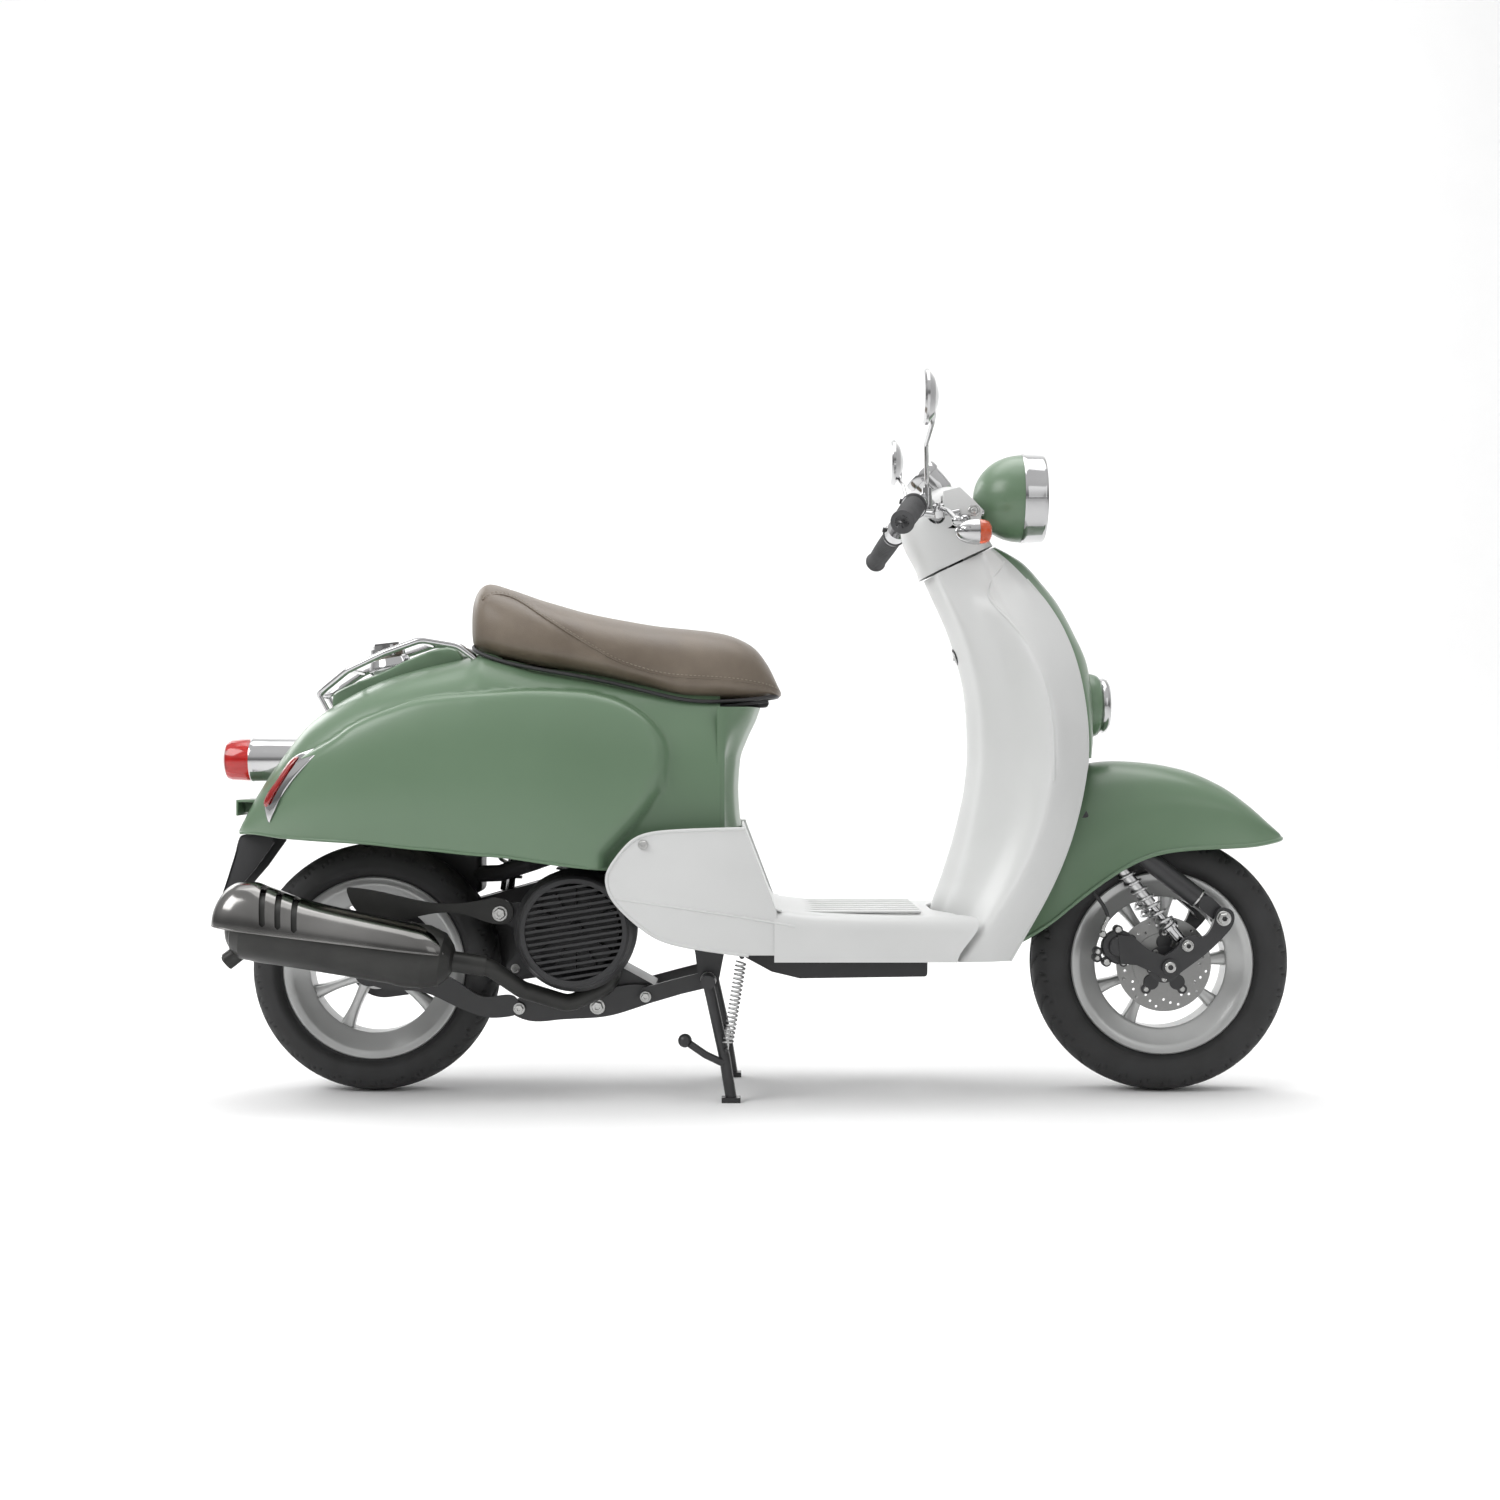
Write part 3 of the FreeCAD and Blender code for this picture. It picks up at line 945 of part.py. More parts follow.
def handlebar_cover():
    """Moulded column over the stem, under the instrument."""
    def ring_wire(ahead, half_x, half_y, up):
        points = []
        for i in range(16):
            angle = 2 * math.pi * i / 16
            c, s = math.cos(angle), math.sin(angle)
            u = half_x * math.copysign(abs(c) ** 0.72, c)
            v = half_y * math.copysign(abs(s) ** 0.72, s)
            points.append((ahead + u, v, up))
        return Part.Wire(spline(points, closed=True))

    outer = loft([ring_wire(0, 67, 58, 1.5), ring_wire(2, 67, 64, 45), ring_wire(4, 65, 66, 82), ring_wire(6, 48, 52, 112),
                  ring_wire(6, 26, 30, 124)])
    inner = loft([ring_wire(0, 64, 55, 0.5), ring_wire(2, 64, 61, 45), ring_wire(4, 62, 63, 81), ring_wire(6, 44, 48, 108),
                  ring_wire(6, 20, 24, 120)])
    cover = on_steering(outer.cut(inner))
    half = [(252, 180, 948), (268, 112, 960), (302, 44, 930)]
    bar_room = tube(half + [(x, -y, z) for x, y, z in reversed(half)], 13.5, 40)
    bracket_room = box(300, 54, 918, 372, 66, 990)
    cover = cover.cut(PARTS["handlebar"]).cut(PARTS["speedometer"]).cut(bar_room).cut(PARTS["headlamp_shell"])
    cover = cover.cut(bracket_room).cut(mirror_y(bracket_room))
    PARTS["handlebar_cover"] = max(cover.Solids, key=lambda s: s.Volume)


def instrument_and_lamps():
    """Speedometer, headlamp bowl with its rim, and the bullet turn signals."""
    axis = (-0.707, 0, 0.707)
    PARTS["speedometer"] = turned([(0, 0), (0, 24), (10, 27), (52, 27), (52, 29.5), (60, 29.5), (60, 26), (57, 26), (57, 0)],
                                  (312, 0, 973), axis)
    bowl = [(0, 0), (1.5, 16), (6, 30), (14, 44), (26, 56), (42, 65), (62, 70), (80, 71.5), (80, 68.5), (62, 67),
            (43, 62), (28, 53), (17, 42), (9, 28), (5, 14), (4, 0)]
    shell = turned(bowl, (360, 0, LAMP_Z), (1, 0, 0))
    PARTS["headlamp_shell"] = shell.cut(PARTS["handlebar"]).cut(PARTS["speedometer"])
    rim_ring = turned([(80.3, 66), (80.3, 72.5), (110, 72.5), (113, 70), (113, 66), (108, 64), (92, 63)],
                      (360, 0, LAMP_Z), (1, 0, 0))
    glass = turned([(100, 0), (100, 62.8), (104, 62.8), (109, 50), (112, 30), (113, 0)], (360, 0, LAMP_Z), (1, 0, 0))
    PARTS["headlamp_rim"] = Part.makeCompound([rim_ring, glass])
    bullet = [(0, 0), (2, 8), (8, 15), (20, 20), (38, 20.5), (38, 19.5), (55, 19), (58, 12), (58, 0)]
    signal = turned(bullet, (316, 125, 906.5), (1, 0, 0)).cut(PARTS["handlebar"])
    PARTS["front_signals"] = pair(signal)


def ignition_lock():
    barrel = rod((316, 0, 706), (342, 0, 715.6), 11)
    key_slot = rod((312, 0, 704.5), (318, 0, 706.7), 3)
    PARTS["ignition_lock"] = barrel.cut(key_slot)


def build():
    leg_shield()
    front_cover()
    floor_board()
    housings, lenses = rear_body_panels()
    rear_deck()
    seat_cowl()
    tail_lamps(housings, lenses)
    luggage_rack()
    storage_and_tank()
    main_frame()
    seat()
    centre_stand()
    engine()
    wheels()
    steering_fork()
    front_link()
    shocks()
    front_fender()
    handlebar()
    levers()
    mirrors()
    controls()
    instrument_and_lamps()
    handlebar_cover()
    ignition_lock()


def write():
    os.makedirs("parts", exist_ok=True)
    for name, shape in PARTS.items():
        for solid in shape.Solids:
            if not solid.isValid() or solid.Volume <= 0:
                print("check", name, solid.isValid(), round(solid.Volume, 1))
        solids = [s for s in shape.Solids if s.Volume > 1.0]
        out = solids[0] if len(solids) == 1 else Part.makeCompound(solids)
        out.exportStep(os.path.join("parts", name + ".step"))
    print(len(PARTS), "parts")


build()
write()
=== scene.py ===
"""Retro moped scooter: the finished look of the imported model.

Each class below dresses or builds one sub-assembly. Tables are in millimetres, in the model's own frame
(+X forward, +Y left, +Z up); MM turns them into metres.
"""

import logging
import math
from dataclasses import dataclass, field
from enum import Enum
from typing import Callable, Sequence

import bpy
from mathutils import Matrix, Vector


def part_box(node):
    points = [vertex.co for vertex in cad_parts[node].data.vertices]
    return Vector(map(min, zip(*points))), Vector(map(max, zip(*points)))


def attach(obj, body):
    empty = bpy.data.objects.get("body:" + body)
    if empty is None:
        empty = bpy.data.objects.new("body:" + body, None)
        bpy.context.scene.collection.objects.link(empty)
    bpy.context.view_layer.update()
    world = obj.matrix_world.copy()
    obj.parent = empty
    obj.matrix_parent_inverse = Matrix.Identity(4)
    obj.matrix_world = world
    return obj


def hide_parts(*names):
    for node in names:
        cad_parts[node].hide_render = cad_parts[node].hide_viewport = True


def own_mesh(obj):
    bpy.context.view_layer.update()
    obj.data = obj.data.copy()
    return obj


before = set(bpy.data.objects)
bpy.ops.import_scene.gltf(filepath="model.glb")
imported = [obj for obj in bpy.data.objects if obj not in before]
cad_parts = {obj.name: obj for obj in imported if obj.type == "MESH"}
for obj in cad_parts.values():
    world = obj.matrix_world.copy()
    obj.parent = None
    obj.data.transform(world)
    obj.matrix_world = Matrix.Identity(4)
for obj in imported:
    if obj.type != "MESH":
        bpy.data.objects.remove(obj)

logging.basicConfig(level=logging.INFO, format="%(message)s")
LOG = logging.getLogger("scooter")
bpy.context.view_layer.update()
MM = 0.001

Point = Sequence[float]
Row = Sequence[float]


class Side(Enum):
    """The two sides of the scooter, as the sign of Y."""

    RIGHT = -1
    LEFT = 1


# ---- shapes -------------------------------------------------------------------------------------------
def smoothstep(low: float, high: float, value: float) -> float:
    """Returns 0 below low, 1 above high and a smooth ramp between.

    Args:
        low: where the ramp starts.
        high: where it ends.
        value: the place to read.

    Returns:
        The share, from 0 to 1.
    """
    share = min(max((value - low) / (high - low), 0.0), 1.0)
    return share * share * (3 - 2 * share)


class Table:
    """Rows of numbers joined by a smooth curve that never overshoots."""

    def __init__(self, rows: Sequence[Row], keys: Sequence[float] | None = None) -> None:
        """Args:
            rows: the rows to pass through.
            keys: where each row lies; by default the distance travelled through the first three columns.
        """
        self.rows = [list(row) for row in rows]
        if keys is None:
            keys = [0.0]
            for a, b in zip(rows, rows[1:]):
                keys.append(keys[-1] + math.dist(a[:3], b[:3]))
        self.keys = list(keys)
        self.slopes = [self._slopes(column) for column in range(len(rows[0]))]

    def _slopes(self, column: int) -> list[float]:
        """Returns the curve's slope at each key, for one column.

        Args:
            column: the column to read.

        Returns:
            One slope for each key.
        """
        count = len(self.rows)
        steps = []
        for i in range(count - 1):
            rise = self.rows[i + 1][column] - self.rows[i][column]
            steps.append(rise / (self.keys[i + 1] - self.keys[i]))
        slopes = [steps[0]]
        for before, after in zip(steps, steps[1:]):
            flat = before * after <= 0
            slopes.append(0.0 if flat else 2 * before * after / (before + after))
        return slopes + [steps[-1]]

    def at(self, key: float) -> list[float]:
        """Returns the row at a key between the first and the last.

        Args:
            key: where to read the curve.

        Returns:
            The row there.
        """
        i = 0
        while i < len(self.keys) - 2 and key > self.keys[i + 1]:
            i += 1
        span = self.keys[i + 1] - self.keys[i]
        s = min(max((key - self.keys[i]) / span, 0.0), 1.0)
        h1, h2 = 2 * s ** 3 - 3 * s ** 2 + 1, s ** 3 - 2 * s ** 2 + s
        h3, h4 = 3 * s ** 2 - 2 * s ** 3, s ** 3 - s ** 2
        out = []
        for column, slopes in enumerate(self.slopes):
            low, high = self.rows[i][column], self.rows[i + 1][column]
            out.append(h1 * low + h2 * span * slopes[i] + h3 * high + h4 * span * slopes[i + 1])
        return out

    def samples(self, count: int) -> list[list[float]]:
        """Returns count rows, evenly spaced from the first key to the last."""
        first, last = self.keys[0], self.keys[-1]
        return [self.at(first + (last - first) * i / (count - 1)) for i in range(count)]


def arch(row: Row, count: int, roundness: float) -> list[tuple[float, float, float]]:
    """Returns an open section over the top of a body, from the left foot to the right.

    Args:
        row: x, top, half width, height of the widest point, bottom, half width at the bottom.
        count: points on one side.
        roundness: 2 for an ellipse, more for squarer shoulders.
    """
    x, top, half, widest, bottom, foot = row[:6]
    side = []
    over = int(count * 0.66)
    for i in range(over + 1):
        angle = math.pi / 2 * i / over
        y = half * math.sin(angle) ** (2 / roundness)
        z = widest + (top - widest) * math.cos(angle) ** (2 / roundness)
        side.append((x, y, z))
    under = count - over
    for i in range(1, under + 1):
        share = i / under
        y = half + (foot - half) * share ** 2
        side.append((x, y, widest + (bottom - widest) * share))
    mirrored = [(px, -py, pz) for px, py, pz in side[1:]]
    return list(reversed(side)) + mirrored


# ---- modelling helpers --------------------------------------------------------------------------------
def deselect() -> None:
    """Leaves nothing selected."""
    bpy.ops.object.select_all(action="DESELECT")


def activate(piece: bpy.types.Object) -> None:
    """Selects one piece alone and makes it the active one."""
    deselect()
    piece.select_set(True)
    bpy.context.view_layer.objects.active = piece


def settle(piece: bpy.types.Object) -> None:
    """Moves the piece's place into its mesh, so that its object sits at the origin, unturned and unscaled."""
    activate(piece)
    bpy.ops.object.transform_apply(location=True, rotation=True, scale=True)


def new_mesh(name: str, points: Sequence[Point], edges: Sequence, faces: Sequence) -> bpy.types.Object:
    """Returns a new object from points in millimetres.

    Args:
        name: the object's name.
        points: the points, in millimetres.
        edges: pairs of point numbers.
        faces: loops of point numbers.

    Returns:
        The object.
    """
    mesh = bpy.data.meshes.new(name)
    mesh.from_pydata([Vector(p) * MM for p in points], edges, faces)
    piece = bpy.data.objects.new(name, mesh)
    bpy.context.scene.collection.objects.link(piece)
    return piece


def edit(piece: bpy.types.Object, *steps: Callable[[], object]) -> None:
    """Runs mesh operators on the whole of a piece in edit mode."""
    activate(piece)
    bpy.ops.object.mode_set(mode="EDIT")
    for step in steps:
        bpy.ops.mesh.select_all(action="SELECT")
        step()
    bpy.ops.object.mode_set(mode="OBJECT")


def clean(piece: bpy.types.Object, merge: float = 1e-5) -> None:
    """Merges doubles and turns every face outwards."""
    edit(piece, lambda: bpy.ops.mesh.remove_doubles(threshold=merge),
         lambda: bpy.ops.mesh.normals_make_consistent(inside=False))


def modify(piece: bpy.types.Object, kind: str, **settings: object) -> None:
    """Adds a modifier with its settings and applies it.

    Args:
        piece: the piece.
        kind: the modifier's type.
        settings: its properties.
    """
    activate(piece)
    modifier = piece.modifiers.new(kind.lower(), kind)
    for key, value in settings.items():
        setattr(modifier, key, value)
    bpy.ops.object.modifier_apply(modifier=modifier.name)


def smooth(piece: bpy.types.Object, angle: float = 40.0) -> bpy.types.Object:
    """Shades the piece smooth, with edges sharper than the angle kept."""
    activate(piece)
    bpy.ops.object.shade_smooth_by_angle(angle=math.radians(angle))
    return piece


def skin(name: str, sections: Sequence[Sequence[Point]], closed: bool = False) -> bpy.types.Object:
    """Returns a surface through sections with the same number of points each.

    Args:
        name: the piece's name.
        sections: the point rows, in millimetres.
        closed: whether each section is a loop and both ends are capped.
    """
    width = len(sections[0])
    points = [p for section in sections for p in section]
    faces = []
    for i in range(len(sections) - 1):
        for j in range(width if closed else width - 1):
            a, b = i * width + j, i * width + (j + 1) % width
            faces.append((a, b, b + width, a + width))
    if closed:
        faces.append(tuple(range(width)))
        faces.append(tuple(range(len(points) - 1, len(points) - width - 1, -1)))
    piece = new_mesh(name, points, [], faces)
    clean(piece)
    return piece


def across(half: Sequence[Point], count: int) -> list[Row]:
    """Returns an even section of count points from a half section that ends on the centre plane."""
    both = list(half) + [(x, -y, z) for x, y, z in reversed(half[:-1])]
    return Table(both).samples(count)


def thicken(piece: bpy.types.Object, wall: float) -> None:
    """Gives an open skin a wall on its inside, in millimetres."""
    modify(piece, "SOLIDIFY", thickness=wall * MM, offset=-1.0)


def face_outwards(piece: bpy.types.Object, centre: Point) -> None:
    """Turns an open skin's faces away from a centre in millimetres, if they look towards it.

    Args:
        piece: the open skin.
        centre: a point inside it.
    """
    middle = Vector(centre) * MM
    leaning = sum((face.center - middle).dot(face.normal) * face.area for face in piece.data.polygons)
    if leaning < 0:
        edit(piece, bpy.ops.mesh.flip_normals)


def lathe(name: str, profile: Sequence[tuple[float, float]], origin: Point, axis: Point,
          steps: int = 64) -> bpy.types.Object:
    """Returns a profile spun about an axis.

    Args:
        name: the piece's name.
        profile: (distance along the axis, radius) pairs in millimetres.
        origin: a point on the axis, in millimetres.
        axis: the axis's direction.
        steps: faces around.
    """
    direction = Vector(axis).normalized()
    side = direction.orthogonal().normalized()
    base = Vector(origin)
    points = [base + direction * d + side * r for d, r in profile]
    edges = [(i, i + 1) for i in range(len(points) - 1)]
    piece = new_mesh(name, points, edges, [])
    edit(piece, lambda: bpy.ops.mesh.spin(steps=steps, angle=2 * math.pi, center=base * MM, axis=direction))
    clean(piece, 2e-5)
    return piece


def tube(name: str, points: Sequence[Point], radius: float, closed: bool = False, order: int = 3,
         fine: int = 10) -> bpy.types.Object:
    """Returns a round tube along a smooth line through control points in millimetres.

    Args:
        name: the piece's name.
        points: the control points.
        radius: the tube's radius.
        closed: whether the line is a loop.
        order: the curve's order: 3 follows its points closely, 4 is softer.
        fine: steps between points.

    Returns:
        The piece.
    """
    curve = bpy.data.curves.new(name, "CURVE")
    curve.dimensions = "3D"
    spline = curve.splines.new("NURBS")
    spline.points.add(len(points) - 1)
    for knot, place in zip(spline.points, points):
        knot.co = (place[0] * MM, place[1] * MM, place[2] * MM, 1.0)
    spline.order_u = order
    spline.use_endpoint_u = not closed
    spline.use_cyclic_u = closed
    spline.resolution_u = fine
    curve.bevel_depth = radius * MM
    curve.bevel_resolution = 5
    curve.use_fill_caps = not closed
    piece = bpy.data.objects.new(name, curve)
    bpy.context.scene.collection.objects.link(piece)
    activate(piece)
    bpy.ops.object.convert(target="MESH")
    return bpy.context.view_layer.objects.active


def slab(name: str, low: Point, high: Point, bevel: float = 0.0, segments: int = 3) -> bpy.types.Object:
    """Returns a box between two corners in millimetres, with its edges rounded.

    Args:
        name: the piece's name.
        low: the lowest corner.
        high: the highest corner.
        bevel: radius of the edges.
        segments: steps around each edge.

    Returns:
        The piece.
    """
    centre = [(a + b) / 2 * MM for a, b in zip(low, high)]
    deselect()
    bpy.ops.mesh.primitive_cube_add(size=1.0, location=centre)
    piece = bpy.context.view_layer.objects.active
    piece.name = name
    piece.scale = [(b - a) * MM for a, b in zip(low, high)]
    settle(piece)
    if bevel:
        modify(piece, "BEVEL", width=bevel * MM, segments=segments, limit_method="ANGLE")
    return piece


def panel(name: str, outline: Sequence[tuple[float, float]], y0: float, y1: float,
          bevel: float = 0.0) -> bpy.types.Object:
    """Returns a flat plate with an XZ outline, from y0 to y1, with its edges rounded.

    Args:
        name: the piece's name.
        outline: its x and z points.
        y0: one face.
        y1: the other face.
        bevel: radius of the edges.

    Returns:
        The piece.
    """
    points = [(x, y0, z) for x, z in outline]
    piece = new_mesh(name, points, [], [tuple(range(len(points)))])
    move = {"value": (0, (y1 - y0) * MM, 0)}
    edit(piece, lambda: bpy.ops.mesh.extrude_region_move(TRANSFORM_OT_translate=move),
         lambda: bpy.ops.mesh.normals_make_consistent(inside=False))
    if bevel:
        modify(piece, "BEVEL", width=bevel * MM, segments=3, limit_method="ANGLE")
    return piece


def copy_at(master: bpy.types.Object, place: Point, axis: Point, turn: float = 0.0) -> bpy.types.Object:
    """Returns a copy of a master built at the origin along +Z, moved to a place in millimetres along an axis.

    Args:
        master: the piece to copy.
        place: where its origin goes.
        axis: where its Z axis points.
        turn: degrees about that axis first.

    Returns:
        The copy, with a mesh of its own.
    """
    twin = master.copy()
    twin.data = master.data.copy()
    bpy.context.scene.collection.objects.link(twin)
    spin = Vector((0, 0, 1)).rotation_difference(Vector(axis).normalized()).to_matrix().to_4x4()
    own = Matrix.Rotation(math.radians(turn), 4, "Z")
    twin.data.transform(Matrix.Translation(Vector(place) * MM) @ spin @ own)
    return twin


def remove(piece: bpy.types.Object) -> None:
    """Takes a working piece out of the scene."""
    bpy.data.objects.remove(piece, do_unlink=True)


def join(name: str, pieces: Sequence[bpy.types.Object]) -> bpy.types.Object:
    """Returns the pieces joined into one object.

    Args:
        name: the joined piece's name.
        pieces: the pieces.

    Returns:
        The joined piece.
    """
    deselect()
    for piece in pieces:
        piece.select_set(True)
    bpy.context.view_layer.objects.active = pieces[0]
    bpy.ops.object.join()
    joined = bpy.context.view_layer.objects.active
    joined.name = name
    return joined


def dress(piece: bpy.types.Object, finish: bpy.types.Material, body: str, slot: str,
          *nodes: str) -> bpy.types.Object:
    """Gives a piece its finish, its body and the nodes that it stands for.

    Args:
        piece: the finished piece.
        finish: its material.
        body: the body that it rides on.
        slot: the record's material slot; not used.
        nodes: the CAD nodes that it replaces.

    Returns:
        The same piece.
    """
    piece.data.materials.clear()
    piece.data.materials.append(finish)
    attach(piece, body)
    if nodes:
        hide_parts(*nodes)
    LOG.info("piece %s on %s, %d faces", piece.name, body, len(piece.data.polygons))
    return piece


def paint_node(finish: bpy.types.Material, *nodes: str) -> None:
    """Puts a finish on CAD nodes that keep their shape.

    Args:
        finish: the material.
        nodes: the nodes' names.
    """
    for name in nodes:
        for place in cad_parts[name].material_slots:
            place.link = "OBJECT"
            place.material = finish
        LOG.info("node %s gets %s", name, finish.name)


# ---- finishes -----------------------------------------------------------------------------------------
class Grain:
    """The shared node group of uneven colour, dulling and fine relief."""

    NAME = "surface_grain"

    @classmethod
    def group(cls) -> bpy.types.NodeTree:
        """Returns the group, built once."""
        if cls.NAME in bpy.data.node_groups:
            return bpy.data.node_groups[cls.NAME]
        tree = bpy.data.node_groups.new(cls.NAME, "ShaderNodeTree")
        for label, kind in (("Vector", "NodeSocketVector"), ("Scale", "NodeSocketFloat"),
                            ("Fine Scale", "NodeSocketFloat")):
            tree.interface.new_socket(label, in_out="INPUT", socket_type=kind)
        for label in ("Blotch", "Fine"):
            tree.interface.new_socket(label, in_out="OUTPUT", socket_type="NodeSocketFloat")
        way_in = tree.nodes.new("NodeGroupInput")
        way_out = tree.nodes.new("NodeGroupOutput")
        blotch = tree.nodes.new("ShaderNodeTexNoise")
        blotch.inputs["Detail"].default_value = 4.0
        fine = tree.nodes.new("ShaderNodeTexNoise")
        fine.inputs["Detail"].default_value = 6.0
        spread = tree.nodes.new("ShaderNodeMapRange")
        spread.inputs["From Min"].default_value = 0.32
        spread.inputs["From Max"].default_value = 0.68
        link = tree.links.new
        link(way_in.outputs["Vector"], blotch.inputs["Vector"])
        link(way_in.outputs["Scale"], blotch.inputs["Scale"])
        link(way_in.outputs["Vector"], fine.inputs["Vector"])
        link(way_in.outputs["Fine Scale"], fine.inputs["Scale"])
        link(blotch.outputs["Fac"], spread.inputs["Value"])
        link(spread.outputs["Result"], way_out.inputs["Blotch"])
        link(fine.outputs["Fac"], way_out.inputs["Fine"])
        return tree


class Painter:
    """Wires one material's nodes."""

    def __init__(self, name: str) -> None:
        """Starts a material with Object coordinates and a Principled shader."""
        self.material = bpy.data.materials.new(name)
        self.material.use_nodes = True
        self.nodes = self.material.node_tree.nodes
        self.link = self.material.node_tree.links.new
        self.shader = self.nodes["Principled BSDF"]
        self.place = self.nodes.new("ShaderNodeTexCoord").outputs["Object"]

    def set(self, **values: object) -> None:
        """Sets shader sockets by name, with spaces written as underscores."""
        for key, value in values.items():
            self.shader.inputs[key.replace("_", " ")].default_value = value

    def grain(self, scale: float, fine: float) -> tuple[bpy.types.NodeSocket, bpy.types.NodeSocket]:
        """Places the shared grain group and returns its two outputs.

        Args:
            scale: the blotches' scale.
            fine: the relief's scale.

        Returns:
            The blotch mask and the fine mask.
        """
        node = self.nodes.new("ShaderNodeGroup")
        node.node_tree = Grain.group()
        node.inputs["Scale"].default_value = scale
        node.inputs["Fine Scale"].default_value = fine
        self.link(self.place, node.inputs["Vector"])
        return node.outputs["Blotch"], node.outputs["Fine"]

    def blend(self, mask: bpy.types.NodeSocket, low: Sequence[float],
              high: Sequence[float]) -> bpy.types.NodeSocket:
        """Returns a colour that runs from low to high with the mask.

        Args:
            mask: a value from 0 to 1.
            low: the colour at 0.
            high: the colour at 1.

        Returns:
            The colour.
        """
        ramp = self.nodes.new("ShaderNodeValToRGB")
        ramp.color_ramp.elements[0].color = (*low, 1)
        ramp.color_ramp.elements[1].color = (*high, 1)
        self.link(mask, ramp.inputs["Fac"])
        return ramp.outputs["Color"]

    def scaled(self, mask: bpy.types.NodeSocket, low: float, high: float) -> bpy.types.NodeSocket:
        """Returns the mask mapped onto low to high.

        Args:
            mask: a value from 0 to 1.
            low: the value at 0.
            high: the value at 1.

        Returns:
            The mapped value.
        """
        node = self.nodes.new("ShaderNodeMapRange")
        node.inputs["To Min"].default_value = low
        node.inputs["To Max"].default_value = high
        self.link(mask, node.inputs["Value"])
        return node.outputs["Result"]

    def relief(self, height: bpy.types.NodeSocket, depth: float, strength: float = 1.0) -> None:
        """Feeds a height in millimetres of depth to the shader's normal.

        Args:
            height: the height, from 0 to 1.
            depth: how deep it is, in millimetres.
            strength: how much of it shows.
        """
        bump = self.nodes.new("ShaderNodeBump")
        bump.inputs["Strength"].default_value = strength
        bump.inputs["Distance"].default_value = depth * MM
        self.link(height, bump.inputs["Height"])
        self.link(bump.outputs["Normal"], self.shader.inputs["Normal"])


@dataclass(frozen=True)
class Finish:
    """A solid finish: two close tones, a span of roughness and a fine relief."""

    name: str
    low: tuple[float, float, float]
    high: tuple[float, float, float]
    rough: tuple[float, float]
    metallic: float = 0.0
    coat: float = 0.0
    coat_rough: float = 0.05
    blotch: float = 9.0
    fine: float = 700.0
    depth: float = 0.02
    specular: float = 0.5

    def build(self) -> bpy.types.Material:
        """Returns the material."""
        paint = Painter(self.name)
        paint.set(Metallic=self.metallic, Coat_Weight=self.coat, Coat_Roughness=self.coat_rough,
                  Specular_IOR_Level=self.specular)
        blotch, fine = paint.grain(self.blotch, self.fine)
        paint.link(paint.blend(blotch, self.low, self.high), paint.shader.inputs["Base Color"])
        paint.link(paint.scaled(blotch, *self.rough), paint.shader.inputs["Roughness"])
        paint.relief(fine, self.depth)
        return paint.material


@dataclass(frozen=True)
class Leather:
    """Grained seat leather: cells with creased borders, and shine that varies in blotches."""

    name: str = "seat_leather"
    low: tuple[float, float, float] = (0.120, 0.092, 0.066)
    high: tuple[float, float, float] = (0.175, 0.140, 0.105)
    cells: float = 420.0

    def build(self) -> bpy.types.Material:
        """Returns the material."""
        paint = Painter(self.name)
        paint.set(Specular_IOR_Level=0.45, Coat_Weight=0.25, Coat_Roughness=0.32)
        blotch, fine = paint.grain(14.0, 900.0)
        paint.link(paint.blend(blotch, self.low, self.high), paint.shader.inputs["Base Color"])
        paint.link(paint.scaled(blotch, 0.42, 0.56), paint.shader.inputs["Roughness"])
        cell = paint.nodes.new("ShaderNodeTexVoronoi")
        cell.feature = "DISTANCE_TO_EDGE"
        cell.inputs["Scale"].default_value = self.cells
        paint.link(paint.place, cell.inputs["Vector"])
        crease = paint.nodes.new("ShaderNodeMapRange")
        crease.inputs["From Max"].default_value = 0.18
        paint.link(cell.outputs["Distance"], crease.inputs["Value"])
        total = paint.nodes.new("ShaderNodeMath")
        total.operation = "MULTIPLY_ADD"
        total.inputs[1].default_value = 0.35
        paint.link(fine, total.inputs[0])
        paint.link(crease.outputs["Result"], total.inputs[2])
        paint.relief(total.outputs["Value"], 0.22, 0.55)
        return paint.material


@dataclass(frozen=True)
class Lens:
    """Moulded lamp plastic or glass, with fine ribs pressed into it."""

    name: str
    tint: tuple[float, float, float]
    clear: float = 0.85
    ribs: float = 260.0
    depth: float = 0.5
    direction: str = "Y"

    def build(self) -> bpy.types.Material:
        """Returns the material."""
        paint = Painter(self.name)
        paint.set(Roughness=0.06, IOR=1.49, Transmission_Weight=self.clear, Coat_Weight=0.5,
                  Coat_Roughness=0.03)
        blotch, _ = paint.grain(30.0, 200.0)
        darker = tuple(c * 0.82 for c in self.tint)
        paint.link(paint.blend(blotch, darker, self.tint), paint.shader.inputs["Base Color"])
        wave = paint.nodes.new("ShaderNodeTexWave")
        wave.bands_direction = self.direction
        wave.inputs["Scale"].default_value = self.ribs / 6.2832
        paint.link(paint.place, wave.inputs["Vector"])
        paint.relief(wave.outputs["Fac"], self.depth, 0.6)
        return paint.material


